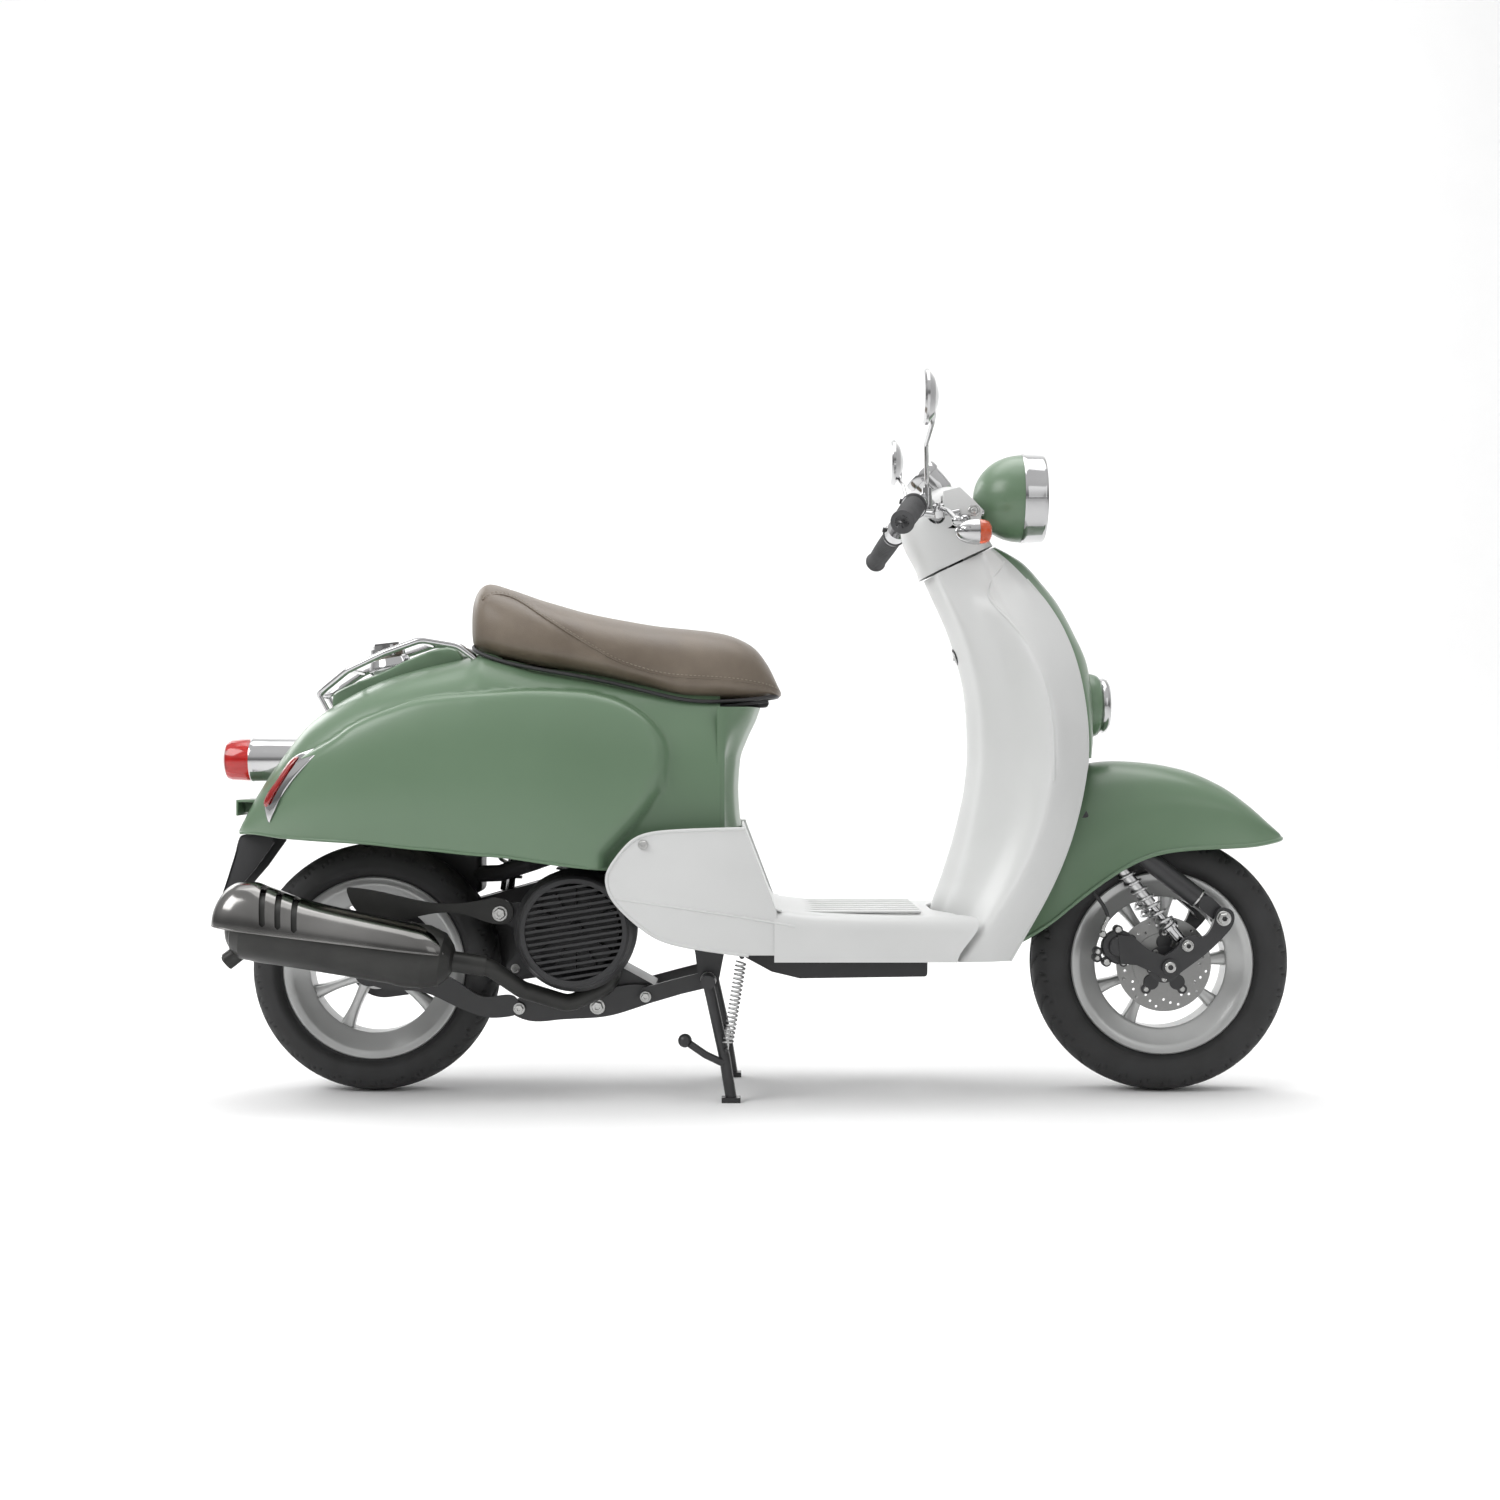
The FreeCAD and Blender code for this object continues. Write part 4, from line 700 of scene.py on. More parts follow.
@dataclass(frozen=True)
class Brushed:
    """Bare metal with turning or rubbing marks around or along one axis."""

    name: str
    tone: tuple[float, float, float]
    rough: tuple[float, float] = (0.22, 0.36)
    stretch: tuple[float, float, float] = (1.0, 1.0, 1.0)
    scale: float = 120.0

    def build(self) -> bpy.types.Material:
        """Returns the material."""
        paint = Painter(self.name)
        paint.set(Metallic=1.0)
        mapping = paint.nodes.new("ShaderNodeMapping")
        mapping.inputs["Scale"].default_value = self.stretch
        paint.link(paint.place, mapping.inputs["Vector"])
        marks = paint.nodes.new("ShaderNodeTexNoise")
        marks.inputs["Scale"].default_value = self.scale
        marks.inputs["Detail"].default_value = 5.0
        paint.link(mapping.outputs["Vector"], marks.inputs["Vector"])
        dark = tuple(c * 0.86 for c in self.tone)
        paint.link(paint.blend(marks.outputs["Fac"], dark, self.tone), paint.shader.inputs["Base Color"])
        paint.link(paint.scaled(marks.outputs["Fac"], *self.rough), paint.shader.inputs["Roughness"])
        paint.relief(marks.outputs["Fac"], 0.03, 0.5)
        return paint.material


class Palette:
    """Every finish of the scooter, built once."""

    def __init__(self) -> None:
        """Builds the materials."""
        self.green = Finish("sage_enamel", (0.112, 0.186, 0.110), (0.122, 0.200, 0.120), (0.34, 0.40),
                            coat=0.35, coat_rough=0.22, blotch=4.0, fine=260.0, depth=0.008).build()
        self.white = Finish("white_moulding", (0.585, 0.59, 0.585), (0.62, 0.625, 0.62), (0.36, 0.44),
                            coat=0.25, coat_rough=0.25, blotch=5.0, fine=320.0, depth=0.008).build()
        self.black = Finish("black_moulding", (0.018, 0.018, 0.019), (0.030, 0.030, 0.032), (0.42, 0.58),
                            fine=1400.0, depth=0.10).build()
        self.frame = Finish("black_chassis_paint", (0.013, 0.013, 0.014), (0.026, 0.026, 0.028), (0.30, 0.48),
                            coat=0.2, coat_rough=0.2, fine=500.0, depth=0.05).build()
        self.rim = Finish("silver_wheel_paint", (0.44, 0.445, 0.44), (0.52, 0.525, 0.52), (0.28, 0.38),
                          metallic=0.55,
                          coat=0.3, coat_rough=0.12, fine=900.0, depth=0.04).build()
        self.chrome = Finish("bright_chrome", (0.47, 0.47, 0.475), (0.56, 0.56, 0.565), (0.07, 0.12),
                             metallic=1.0,
                             fine=300.0, depth=0.001).build()
        self.bolt = Finish("plated_bolt", (0.42, 0.42, 0.41), (0.60, 0.60, 0.59), (0.20, 0.34), metallic=1.0,
                           blotch=60.0,
                           fine=900.0, depth=0.02).build()
        self.steel = Brushed("zinc_steel", (0.62, 0.62, 0.62)).build()
        self.exhaust_black = Finish("exhaust_black", (0.022, 0.022, 0.021), (0.036, 0.036, 0.034),
                                    (0.34, 0.46),
                                    metallic=0.35, blotch=16.0, fine=900.0, depth=0.06).build()
        self.shield = Finish("plated_shield", (0.16, 0.157, 0.153), (0.25, 0.246, 0.24), (0.12, 0.20),
                             metallic=1.0,
                             blotch=7.0, fine=500.0, depth=0.01).build()
        self.disc = Brushed("ground_disc_steel", (0.30, 0.30, 0.295), (0.30, 0.42), (1.0, 4.0, 1.0),
                            260.0).build()
        self.tyre = Finish("tyre_rubber", (0.016, 0.016, 0.016), (0.034, 0.034, 0.035), (0.62, 0.82),
                           blotch=20.0,
                           fine=1300.0, depth=0.12).build()
        self.grip = Finish("grip_rubber", (0.045, 0.045, 0.047), (0.075, 0.075, 0.078), (0.60, 0.75),
                           blotch=40.0,
                           fine=1500.0, depth=0.12).build()
        self.leather = Leather().build()
        self.piping = Finish("seat_thread", (0.30, 0.26, 0.21), (0.42, 0.37, 0.30), (0.6, 0.8), fine=2600.0,
                             depth=0.2).build()
        self.red = Lens("red_lamp_plastic", (0.62, 0.012, 0.010), 0.55).build()
        self.amber = Lens("orange_lamp_plastic", (0.85, 0.12, 0.03), 0.45, 420.0, 0.3, "Z").build()
        self.glass = Lens("clear_lamp_glass", (0.97, 0.98, 0.98), 0.97, 520.0, 0.5).build()
        self.cover_glass = Lens("dial_glass", (0.98, 0.98, 0.98), 0.98, 10.0, 0.0).build()
        self.dial = Finish("dial_face", (0.012, 0.012, 0.013), (0.022, 0.022, 0.024), (0.5, 0.6),
                           fine=2000.0).build()
        self.tank = Finish("tank_plastic", (0.55, 0.52, 0.44), (0.66, 0.63, 0.55), (0.4, 0.55)).build()


# ---- bodywork -----------------------------------------------------------------------------------------
def inside_depth(x: float, z: float, outline: Sequence[tuple[float, float]]) -> float:
    """Returns how far a point lies inside a closed XZ outline, or 0 outside it.

    Args:
        x: the place.
        z: the place.
        outline: the loop of x and z points.

    Returns:
        The distance to the nearest edge.
    """
    inside, nearest = False, 1e9
    for (ax, az), (bx, bz) in zip(outline, list(outline[1:]) + [outline[0]]):
        if (az > z) != (bz > z) and x < ax + (z - az) / (bz - az) * (bx - ax):
            inside = not inside
        length = (bx - ax) ** 2 + (bz - az) ** 2
        share = min(max(((x - ax) * (bx - ax) + (z - az) * (bz - az)) / length, 0.0), 1.0) if length else 0.0
        nearest = min(nearest, math.hypot(x - ax - share * (bx - ax), z - az - share * (bz - az)))
    return nearest if inside else 0.0


@dataclass
class BodyShell:
    """The swept tail with its bulged side pods, the raised spine, and the cowl under the seat's nose."""

    palette: Palette
    bulge: float = 23.0
    spine: list[Row] = field(default_factory=lambda: [
        (-690, 650, 612), (-684, 655, 617), (-650, 671, 632), (-607, 688, 652), (-575, 704, 668),
        (-541, 718, 680),
        (-518, 725, 686), (-500, 727, 692), (-488, 723, 696), (-478, 712, 698),
    ])
    wall: float = 2.5
    roundness: float = 2.9
    tail_x: float = -842.0
    run: float = 784.0
    stations: int = 241
    pod_shoulder: float = 27.0
    pod_fade: tuple[float, float] = (-815, -640)
    crease_angle: float = 70.0
    rows: list[Row] = field(default_factory=lambda: [
        (-842, 432, 46, 427, 424, 46), (-832, 450, 64, 433, 425, 62), (-815, 482, 80, 440, 426, 78),
        (-772, 546, 112, 462, 421, 106), (-716, 612, 136, 482, 418, 126), (-614, 671, 157, 505, 413, 146),
        (-540, 694, 166, 512, 405, 153), (-500, 703, 169, 515, 402, 156), (-466, 711, 171, 515, 398, 158),
        (-434, 724, 172, 515, 395, 160), (-400, 720, 173, 515, 393, 160), (-340, 706, 172, 512, 384, 160),
        (-260, 698, 165, 500, 374, 157), (-180, 686, 150, 495, 368, 146), (-110, 678, 134, 490, 368, 133),
        (-58, 668, 125, 490, 372, 125),
    ])
    pod: list[tuple[float, float]] = field(default_factory=lambda: [
        (-850, 440), (-800, 490), (-740, 540), (-669, 579), (-643, 597), (-585, 622), (-521, 641),
        (-425, 650),
        (-353, 654), (-281, 652), (-226, 641), (-183, 620), (-155, 594), (-138, 558), (-140, 522),
        (-158, 483),
        (-190, 439), (-234, 393),
    ])
    cowl: list[Row] = field(default_factory=lambda: [
        (430, -23), (456, -27), (494, -29), (543, -26), (578, -14), (608, 0), (628, 7),
    ])

    def __post_init__(self) -> None:
        """Smooths the pod's crease and closes it under the sill."""
        crease = Table([(x, z, 0) for x, z in self.pod]).samples(70)
        self.pod_outline = [(x, z) for x, z, _ in crease] + [(-234, 300), (-900, 300), (-900, 440)]
        self.table = Table(self.rows, [row[0] for row in self.rows])

    def outward(self, point: Point, row: Row) -> Vector:
        """Returns the section's outward direction at a point.

        Args:
            point: a point on the section.
            row: the section's row.

        Returns:
            A unit vector.
        """
        _, top, half, widest = row[:4]
        rise = max(point[2] - widest, 0.0) / max(top - widest, 1.0)
        return Vector((0, point[1] / half, rise * half / max(top - widest, 1.0))).normalized()

    def swell(self, point: Point, row: Row) -> Vector:
        """Returns the finished place of a point of the plain tail.

        Args:
            point: a point of the plain tail.
            row: its section's row.

        Returns:
            The point moved outwards inside the pod.
        """
        depth = inside_depth(point[0], point[2], self.pod_outline)
        fade = smoothstep(*self.pod_fade, point[0])
        share = 1 - (1 - min(depth / self.pod_shoulder, 1.0)) ** 3
        return Vector(point) + self.outward(point, row) * (self.bulge * share * fade)

    def build(self) -> None:
        """Builds the tail, its sill beads and the cowl."""
        sections = []
        for i in range(self.stations):
            x = self.tail_x + self.run * i / (self.stations - 1)
            row = self.table.at(x)
            sections.append([self.swell(p, row) for p in arch(row, 64, self.roundness)])
        shell = skin("body_shell", sections)
        face_outwards(shell, (-450, 0, 500))
        self.open_seat_well(shell)
        thicken(shell, self.wall)
        smooth(shell, self.crease_angle)
        dress(shell, self.palette.green, "chassis", "green_paint", "side_cover_left", "side_cover_right",
              "rear_deck")
        for side in Side:
            edge = []
            for x in range(-838, -60, 26):
                row = self.table.at(x)
                foot = self.swell(arch(row, 46, self.roundness)[0], row)
                edge.append((x, side.value * abs(foot.y), row[4]))
            bead = tube(f"sill_bead_{side.name.lower()}", edge, 2.6, order=4)
            dress(smooth(bead), self.palette.green, "chassis", "green_paint")
        self.build_cowl()
        self.build_spine()

    def build_spine(self) -> None:
        """Builds the raised panel along the middle of the tail, and the filler's plated skirt."""
        sections = []
        for x, top, base in Table(self.spine, [row[0] for row in self.spine]).samples(60):
            half = [(x, 47, base), (x, 46.5, top - 9), (x, 45, top - 4), (x, 41, top - 1), (x, 34, top),
                    (x, 12, top + 1)]
            sections.append(half + [(px, -py, pz) for px, py, pz in reversed(half)])
        panel_piece = skin("tail_spine_panel", sections, closed=True)
        modify(panel_piece, "BEVEL", width=0.0025, segments=3, limit_method="ANGLE",
               angle_limit=math.radians(50))
        dress(smooth(panel_piece, 35), self.palette.green, "chassis", "green_paint")
        skirt = lathe("fuel_filler_skirt", [(-10, 33), (3, 34), (7, 36), (10, 36.5), (14, 35), (24, 31.5),
                                            (24, 28)],
                      (-600, 0, 685), (-0.2149, 0, 0.9766), 64)
        dress(smooth(skirt, 50), self.palette.chrome, "chassis", "bright_chrome")

    def open_seat_well(self, shell: bpy.types.Object) -> None:
        """Cuts the opening under the seat."""
        activate(shell)
        bpy.ops.object.mode_set(mode="EDIT")
        bpy.ops.mesh.select_all(action="DESELECT")
        bpy.ops.object.mode_set(mode="OBJECT")
        for face in shell.data.polygons:
            x, y, z = face.center / MM
            half = 100 - 55 * (1 - smoothstep(-448, -405, x)) - 22 * smoothstep(-200, -90, x)
            face.select = -446 < x < -70 and z > 560 and abs(y) < half
        bpy.ops.object.mode_set(mode="EDIT")
        bpy.ops.mesh.delete(type="FACE")
        bpy.ops.object.mode_set(mode="OBJECT")

    def build_cowl(self) -> None:
        """Builds the curved front of the seat tower."""
        table = Table([(z, x) for z, x in self.cowl], [z for z, _ in self.cowl])
        sections = []
        for i in range(34):
            z, front = table.at(430 + 198 * i / 33)
            half = [(-62, 125, z), (-50, 120, z), (front - 24, 97, z), (front - 7, 62, z), (front, 0, z)]
            sections.append(across(half, 49))
        cowl = skin("seat_cowl_panel", sections)
        face_outwards(cowl, (-90, 0, 530))
        thicken(cowl, self.wall)
        dress(smooth(cowl, 35), self.palette.green, "chassis", "green_paint", "seat_cowl")


@dataclass
class LegShield:
    """The white shield with its two ridges, the coloured front cover, the horn and the key switch."""

    palette: Palette
    wall: float = 2.5
    rows: list[Row] = field(default_factory=lambda: [
        (226, 284, 300, 52, 318, 172, 402, 150), (262, 284, 301, 54, 342, 182, 421, 156),
        (300, 288, 306, 56, 369, 190, 443, 160), (350, 305, 323, 58, 399, 196, 469, 162),
        (400, 321, 338, 60, 423, 199, 490, 162), (450, 334, 349, 62, 440, 200, 506, 158),
        (500, 344, 357, 64, 451, 199, 518, 150), (550, 348, 362, 66, 457, 197, 527, 140),
        (600, 347, 361, 66, 455, 193, 527, 130), (650, 343, 355, 66, 446, 185, 522, 120),
        (700, 332, 344, 66, 430, 171, 513, 108), (750, 316, 329, 64, 408, 145, 496, 94),
        (800, 294, 309, 60, 384, 111, 468, 78), (835, 278, 294, 55, 373, 82, 440, 60),
        (866, 266, 283, 50, 368, 60, 412, 47), (895, 256, 272, 46, 358, 48, 378, 40),
    ])
    cover: list[Row] = field(default_factory=lambda: [
        (546, 527, 138, 549), (575, 528, 134, 553), (620, 526, 125, 554), (660, 521, 117, 551),
        (700, 512, 107, 544),
        (750, 495, 93, 523), (800, 467, 77, 496), (835, 439, 59, 469), (866, 411, 46, 441),
        (880, 396, 42, 420), (895, 378, 36, 392),
    ])
    wing: list[tuple[float, float]] = field(default_factory=lambda: [
        (404, 864), (393, 851), (379, 832), (371, 816), (375, 800), (388, 782), (414, 751), (437, 710),
        (454, 660), (462, 610),
        (465, 560), (463, 510),
    ])
    horn: tuple[float, float, float] = (553.0, 0.0, 632.0)
    split: tuple[float, float] = (330.0, 865.0)

    def trim_top(self, piece: bpy.types.Object, drop: float) -> None:
        """Cuts a panel along the sloping split under the handlebar cover.

        Args:
            piece: the panel.
            drop: how far below the split it ends.
        """
        lean = math.radians(25.3)
        up = Vector((-math.sin(lean), 0, math.cos(lean)))
        point = Vector((self.split[0], 0, self.split[1])) * MM - up * drop * MM
        edit(piece, lambda: bpy.ops.mesh.bisect(plane_co=point, plane_no=up, clear_outer=True))

    def build(self) -> None:
        """Builds the shield, the cover, the horn and the key switch."""
        table = Table(self.rows, [row[0] for row in self.rows])
        sections = []
        for i in range(100):
            z, rear, corner, corner_y, ridge, ridge_y, front, front_y = table.at(226 + 669 * i / 99)
            half = [(front, front_y, z), ((ridge + front) / 2 + 4, (ridge_y + front_y) / 2 + 6, z),
                    (ridge + 9, ridge_y - 1, z), (ridge, ridge_y - 7, z),
                    ((corner + ridge) / 2 + 6, (corner_y + ridge_y) / 2, z), (corner + 5, corner_y + 9, z),
                    (corner - 1, corner_y - 12, z), (rear, 0, z)]
            sections.append(across(half, 121))
        shield = skin("leg_shield_panel", sections)
        face_outwards(shield, (480, 0, 520))
        self.trim_top(shield, 2.2)
        thicken(shield, self.wall)
        dress(smooth(shield, 34), self.palette.white, "chassis", "white_panel", "leg_shield")
        for side in Side:
            ys = side.value
            edge = [(row[6] - 1, ys * row[7], row[0]) for row in self.rows[:-2]]
            bead = tube(f"shield_edge_{side.name.lower()}", edge, 2.4, order=4)
            dress(smooth(bead), self.palette.white, "chassis", "white_panel")
            crease = [point for point in (self.on_side(shield, x, z, ys) for x, z in self.wing) if point]
            fold = tube(f"wing_crease_{side.name.lower()}", crease, 2.6, order=4)
            dress(smooth(fold), self.palette.white, "chassis", "white_panel")
        self.build_cover()
        self.build_horn()
        self.build_lock()

    def on_side(self, shield: bpy.types.Object, x: float, z: float, sign: int) -> Point | None:
        """Returns the point of the shield's flank at a place in side view, or None beyond its edge.

        Args:
            shield: the shield.
            x: the place.
            z: the place.
            sign: the side, -1 or 1.

        Returns:
            The point, or None.
        """
        start = Vector((x, sign * 400, z)) * MM
        found, place, _, _ = shield.ray_cast(start, Vector((0, -sign, 0)))
        return (x, place.y / MM - sign * 0.8, z) if found and place.y * sign > 0 else None

    def build_cover(self) -> None:
        """Builds the coloured centre panel."""
        table = Table(self.cover, [row[0] for row in self.cover])
        sections = []
        for i in range(60):
            z, edge, half_y, front = table.at(546 + 349 * i / 59)
            half = [(edge - 5, half_y - 6, z), (edge + 5, half_y - 13, z), (front - 8, half_y * 0.5, z),
                    (front, 0, z)]
            sections.append(across(half, 57))
        cover = skin("front_cover_panel", sections)
        face_outwards(cover, (430, 0, 680))
        self.trim_top(cover, 2.0)
        thicken(cover, self.wall)
        dress(smooth(cover, 34), self.palette.green, "chassis", "green_paint", "front_cover")

    def build_horn(self) -> None:
        """Builds the horn's coloured surround, plated ring and slotted grille."""
        x, y, z = self.horn
        surround = lathe("horn_surround", [(-10, 52), (-3, 52.5), (4, 51), (9, 48.5), (12, 45), (12.5, 40),
                                           (9, 37), (-10, 36)],
                         (x, y, z), (1, 0, 0), 72)
        dress(smooth(surround, 50), self.palette.green, "chassis", "green_paint", "horn")
        plated = lathe("horn_ring", [(8, 37), (13, 44), (18, 45.5), (24, 43), (27.5, 37), (27, 31), (22, 28),
                                     (12, 28), (8, 37)],
                       (x, y, z), (1, 0, 0), 72)
        dress(smooth(plated, 60), self.palette.chrome, "chassis", "bright_chrome")
        dish = lathe("horn_dish", [(10, 0.05), (10, 30), (16, 29), (17, 12), (20, 9), (21, 0.05)], (x, y, z),
                     (1, 0, 0), 48)
        dress(smooth(dish, 30), self.palette.black, "chassis", "bright_chrome")
        slats = []
        for i in range(5):
            offset = -18 + 9 * i
            reach = math.sqrt(27.5 ** 2 - offset ** 2)
            slats.append(slab(f"slat{i}", (x + 17, -reach, z + offset - 2.2),
                              (x + 20.5, reach, z + offset + 2.2), 1.4))
        dress(smooth(join("horn_slats", slats)), self.palette.chrome, "chassis", "bright_chrome")

    def build_lock(self) -> None:
        """Builds the key switch's bezel on the rider's side."""
        axis = (-26, 0, -9.6)
        bezel = lathe("key_switch_bezel", [(-2, 11.3), (-2, 15), (0.5, 15.5), (2, 14), (2, 11.3)],
                      (330, 0, 711.2), axis, 48)
        dress(smooth(bezel, 50), self.palette.black, "chassis", "black_plastic")
        face = [(0, 0.05), (0, 9.2), (0.8, 10.4), (2.5, 10.9), (14, 10.9), (14, 0.05)]
        barrel = lathe("key_barrel", face, (326.5, 0, 709.9), (26, 0, 9.6), 48)
        dress(smooth(barrel, 40), self.palette.steel, "lock_barrel", "zinc_steel", "ignition_lock")
        # The black slab across the lock's face is painted shade: it stands in for the open keyway.
        slot = slab("key_slot", (326.0, -0.9, 706.0), (327.4, 0.9, 713.6), 0.3)
        dress(smooth(slot), self.palette.dial, "lock_barrel", "black_plastic")


@dataclass
class Floor:
    """The footboard with its ribbed mats, the side skirts and the flat ears over the engine."""

    palette: Palette
    ear: list[tuple[float, float]] = field(default_factory=lambda: [
        (-17, 436), (-90, 434), (-150, 432), (-187, 424), (-206, 406), (-226, 380), (-235, 362), (-233, 345),
        (-226, 325),
        (-199, 297), (-168, 272), (-140, 257), (-84, 247), (-12, 238), (32, 238), (32, 306), (20, 338),
    ])

    def build(self) -> None:
        """Builds the deck, the riser, the ears, the mats and the belly tray."""
        table = Table([(28, 309), (110, 301), (230, 298), (300, 299)], [28, 110, 230, 300])
        sections = []
        for i in range(40):
            x, rim = table.at(28 + 272 * i / 39)
            half = [(x, 186, 227), (x, 189.5, 250), (x, 190, 272), (x, 187, rim - 12), (x, 178, rim - 3),
                    (x, 164, rim),
                    (x, 120, rim + 0.4), (x, 0, rim + 0.8)]
            sections.append(across(half, 71))
        deck = skin("footboard", sections)
        face_outwards(deck, (160, 0, 230))
        self.fit_to_shield(deck)
        thicken(deck, 2.8)
        riser_rows = [[(x, y, z) for y in (-183, -150, 0, 150, 183)] for x, z in
                      ((-21, 436), (-15, 420), (-5, 395), (10, 356), (23, 322), (29, 311), (40, 308.5))]
        riser = skin("footboard_riser", riser_rows)
        face_outwards(riser, (-100, 0, 300))
        thicken(riser, 2.8)
        ears = []
        for side in Side:
            ys = side.value
            plate = panel(f"ear{ys}", self.ear, ys * 183.5, ys * 187.5, 1.4)
            rim = tube(f"rim{ys}", [(x, ys * 186.0, z) for x, z in self.ear[:14]], 3.0, order=4)
            crease = tube(f"crease{ys}", [(-226, ys * 186.6, 327), (-132, ys * 187, 314),
                                          (-37, ys * 187.4, 300), (20, ys * 187.8, 291),
                                          (60, ys * 188.2, 283)], 2.0, order=4)
            ears += [plate, rim, crease]
        whole = join("footboard", [deck, riser] + ears)
        dress(smooth(whole, 38), self.palette.white, "chassis", "white_panel", "floor_board")
        strips = []
        for i in range(7):
            y = -126 + 42 * i
            strips.append(slab(f"strip{i}", (52, y - 12, 300.5), (262, y + 12, 304.0), 1.6))
        dress(smooth(join("floor_mat_strips", strips)), self.palette.white, "chassis", "white_panel")
        tray = panel("belly_tray", [(-21, 236), (-21, 224), (25, 199), (71, 188), (278, 191), (279, 236)],
                     -62, 62, 5.0)
        dress(smooth(tray), self.palette.black, "chassis", "black_plastic")

    def fit_to_shield(self, deck: bpy.types.Object) -> None:
        """Stretches the deck's front edge to meet the sweep of the shield.

        Args:
            deck: the deck.
        """
        for vertex in deck.data.vertices:
            x, y, z = vertex.co / MM
            reach = 284 + 30 * smoothstep(40, 150, abs(y)) + 34 * smoothstep(150, 186,
                                                                             abs(y)) * smoothstep(226, 290, z)
            share = smoothstep(120, 300, x)
            vertex.co.x = (x + (reach - 300) * share) * MM


@dataclass
class Seat:
    """The stepped leather seat with its piped seams."""

    palette: Palette
    rows: list[Row] = field(default_factory=lambda: [
        (-463, 778, 20, 752, 738, 18), (-461, 800, 58, 760, 727, 54), (-452, 822, 92, 758, 716, 84),
        (-436, 831, 112, 752, 709, 102),
        (-400, 822, 127, 742, 696, 114), (-340, 801, 136, 728, 684, 121), (-260, 780, 138, 712, 671, 122),
        (-180, 765, 132, 694, 652, 117), (-110, 757, 122, 680, 634, 108), (-50, 749, 106, 677, 634.5, 92),
        (-6, 729, 84, 672, 639, 71), (20, 697, 62, 664, 643, 50), (36, 664, 38, 655, 645, 30),
        (41, 654, 12, 652, 648, 8),
    ])
    seams: list[list[tuple[float, float]]] = field(default_factory=lambda: [
        [(-440, 800), (-418, 812), (-395, 806), (-340, 772), (-270, 728), (-205, 694), (-130, 676),
         (-50, 672), (10, 664), (34, 657)],
    ])

    def ring(self, row: Row) -> list[tuple[float, float, float]]:
        """Returns one closed section, crowned on top and softly tucked in below.

        Args:
            row: the section's row.

        Returns:
            The section's points.
        """
        x, top, half, widest, bottom, foot = row
        points = []
        for i in range(72):
            angle = 2 * math.pi * i / 72
            s, c = math.sin(angle), math.cos(angle)
            y = half * math.copysign(abs(s) ** 0.80, s)
            if c >= 0:
                z = widest + (top - widest) * c ** 0.80
            else:
                z = widest + (widest - bottom) * math.copysign(abs(c) ** 0.62, c)
                y *= 1 - (1 - foot / half) * abs(c) ** 1.5
            points.append((x, y, z))
        return points

    def build(self) -> None:
        """Builds the cushion, its channels and its stitched piping."""
        sections = [self.ring(row) for row in Table(self.rows).samples(150)]
        cushion = skin("seat_cushion_cover", sections, closed=True)
        self.sew(cushion)
        dress(smooth(cushion, 60), self.palette.leather, "seat", "seat_leather", "seat_cushion")
        for side in Side:
            for number, seam in enumerate(self.seams):
                line = self.on_surface(seam, side.value)
                piping = tube(f"seat_piping_{side.name.lower()}_{number}", line, 1.5, order=4)
                dress(smooth(piping), self.palette.leather, "seat", "seat_leather")
                dress(self.stitches(f"seat_stitches_{side.name.lower()}_{number}", line, side.value),
                      self.palette.piping, "seat", "seat_leather")
        skirt = tube("seat_trim_edge", self.lower_edge(), 3.2, closed=True, order=4)
        dress(smooth(skirt), self.palette.black, "seat", "black_plastic")

    def half_at(self, x: float, z: float) -> float:
        """Returns the cushion's half width at a place in the side view."""
        table = Table(self.rows, [row[0] for row in self.rows])
        _, top, half, widest, bottom, _ = table.at(x)
        if z >= widest:
            rise = min((z - widest) / max(top - widest, 1.0), 0.98)
            return half * max(1 - rise ** 2.5, 0.02) ** 0.40
        sink = min((widest - z) / max(widest - bottom, 1.0), 0.98)
        return half * (1 - 0.14 * sink ** 1.5) * max(1 - sink ** 3.2, 0.02) ** 0.4

    def on_surface(self, seam: Sequence[tuple[float, float]], sign: int) -> list[tuple[float, float, float]]:
        """Returns a seam's points laid on the side of the cushion.

        Args:
            seam: the seam in side view.
            sign: the side, -1 or 1.

        Returns:
            The points on the leather.
        """
        line = Table([(x, z, 0) for x, z in seam]).samples(26)
        return [(x, sign * (self.half_at(x, z) - 0.6), z) for x, z, _ in line]

    def sew(self, cushion: bpy.types.Object) -> None:
        """Draws the leather in along the seams, and lays soft cross folds over the sitting area.

        Args:
            cushion: the cushion.
        """
        lines = [Table([(x, z, 0) for x, z in seam]).samples(60) for seam in self.seams]
        for vertex in cushion.data.vertices:
            x, y, z = vertex.co / MM
            depth = 0.0
            for line in lines:
                near = min(math.hypot(x - px, z - pz) for px, pz, _ in line)
                depth = max(depth, 2.6 * math.exp(-(near / 5.0) ** 2))
            if abs(y) > 30:
                vertex.co.y -= math.copysign(depth * MM, y)
            vertex.co.z += 0.5 * MM * math.sin(x / 19.0) * smoothstep(700, 760,
                                                                      z) * math.exp(-(y / 60.0) ** 2)

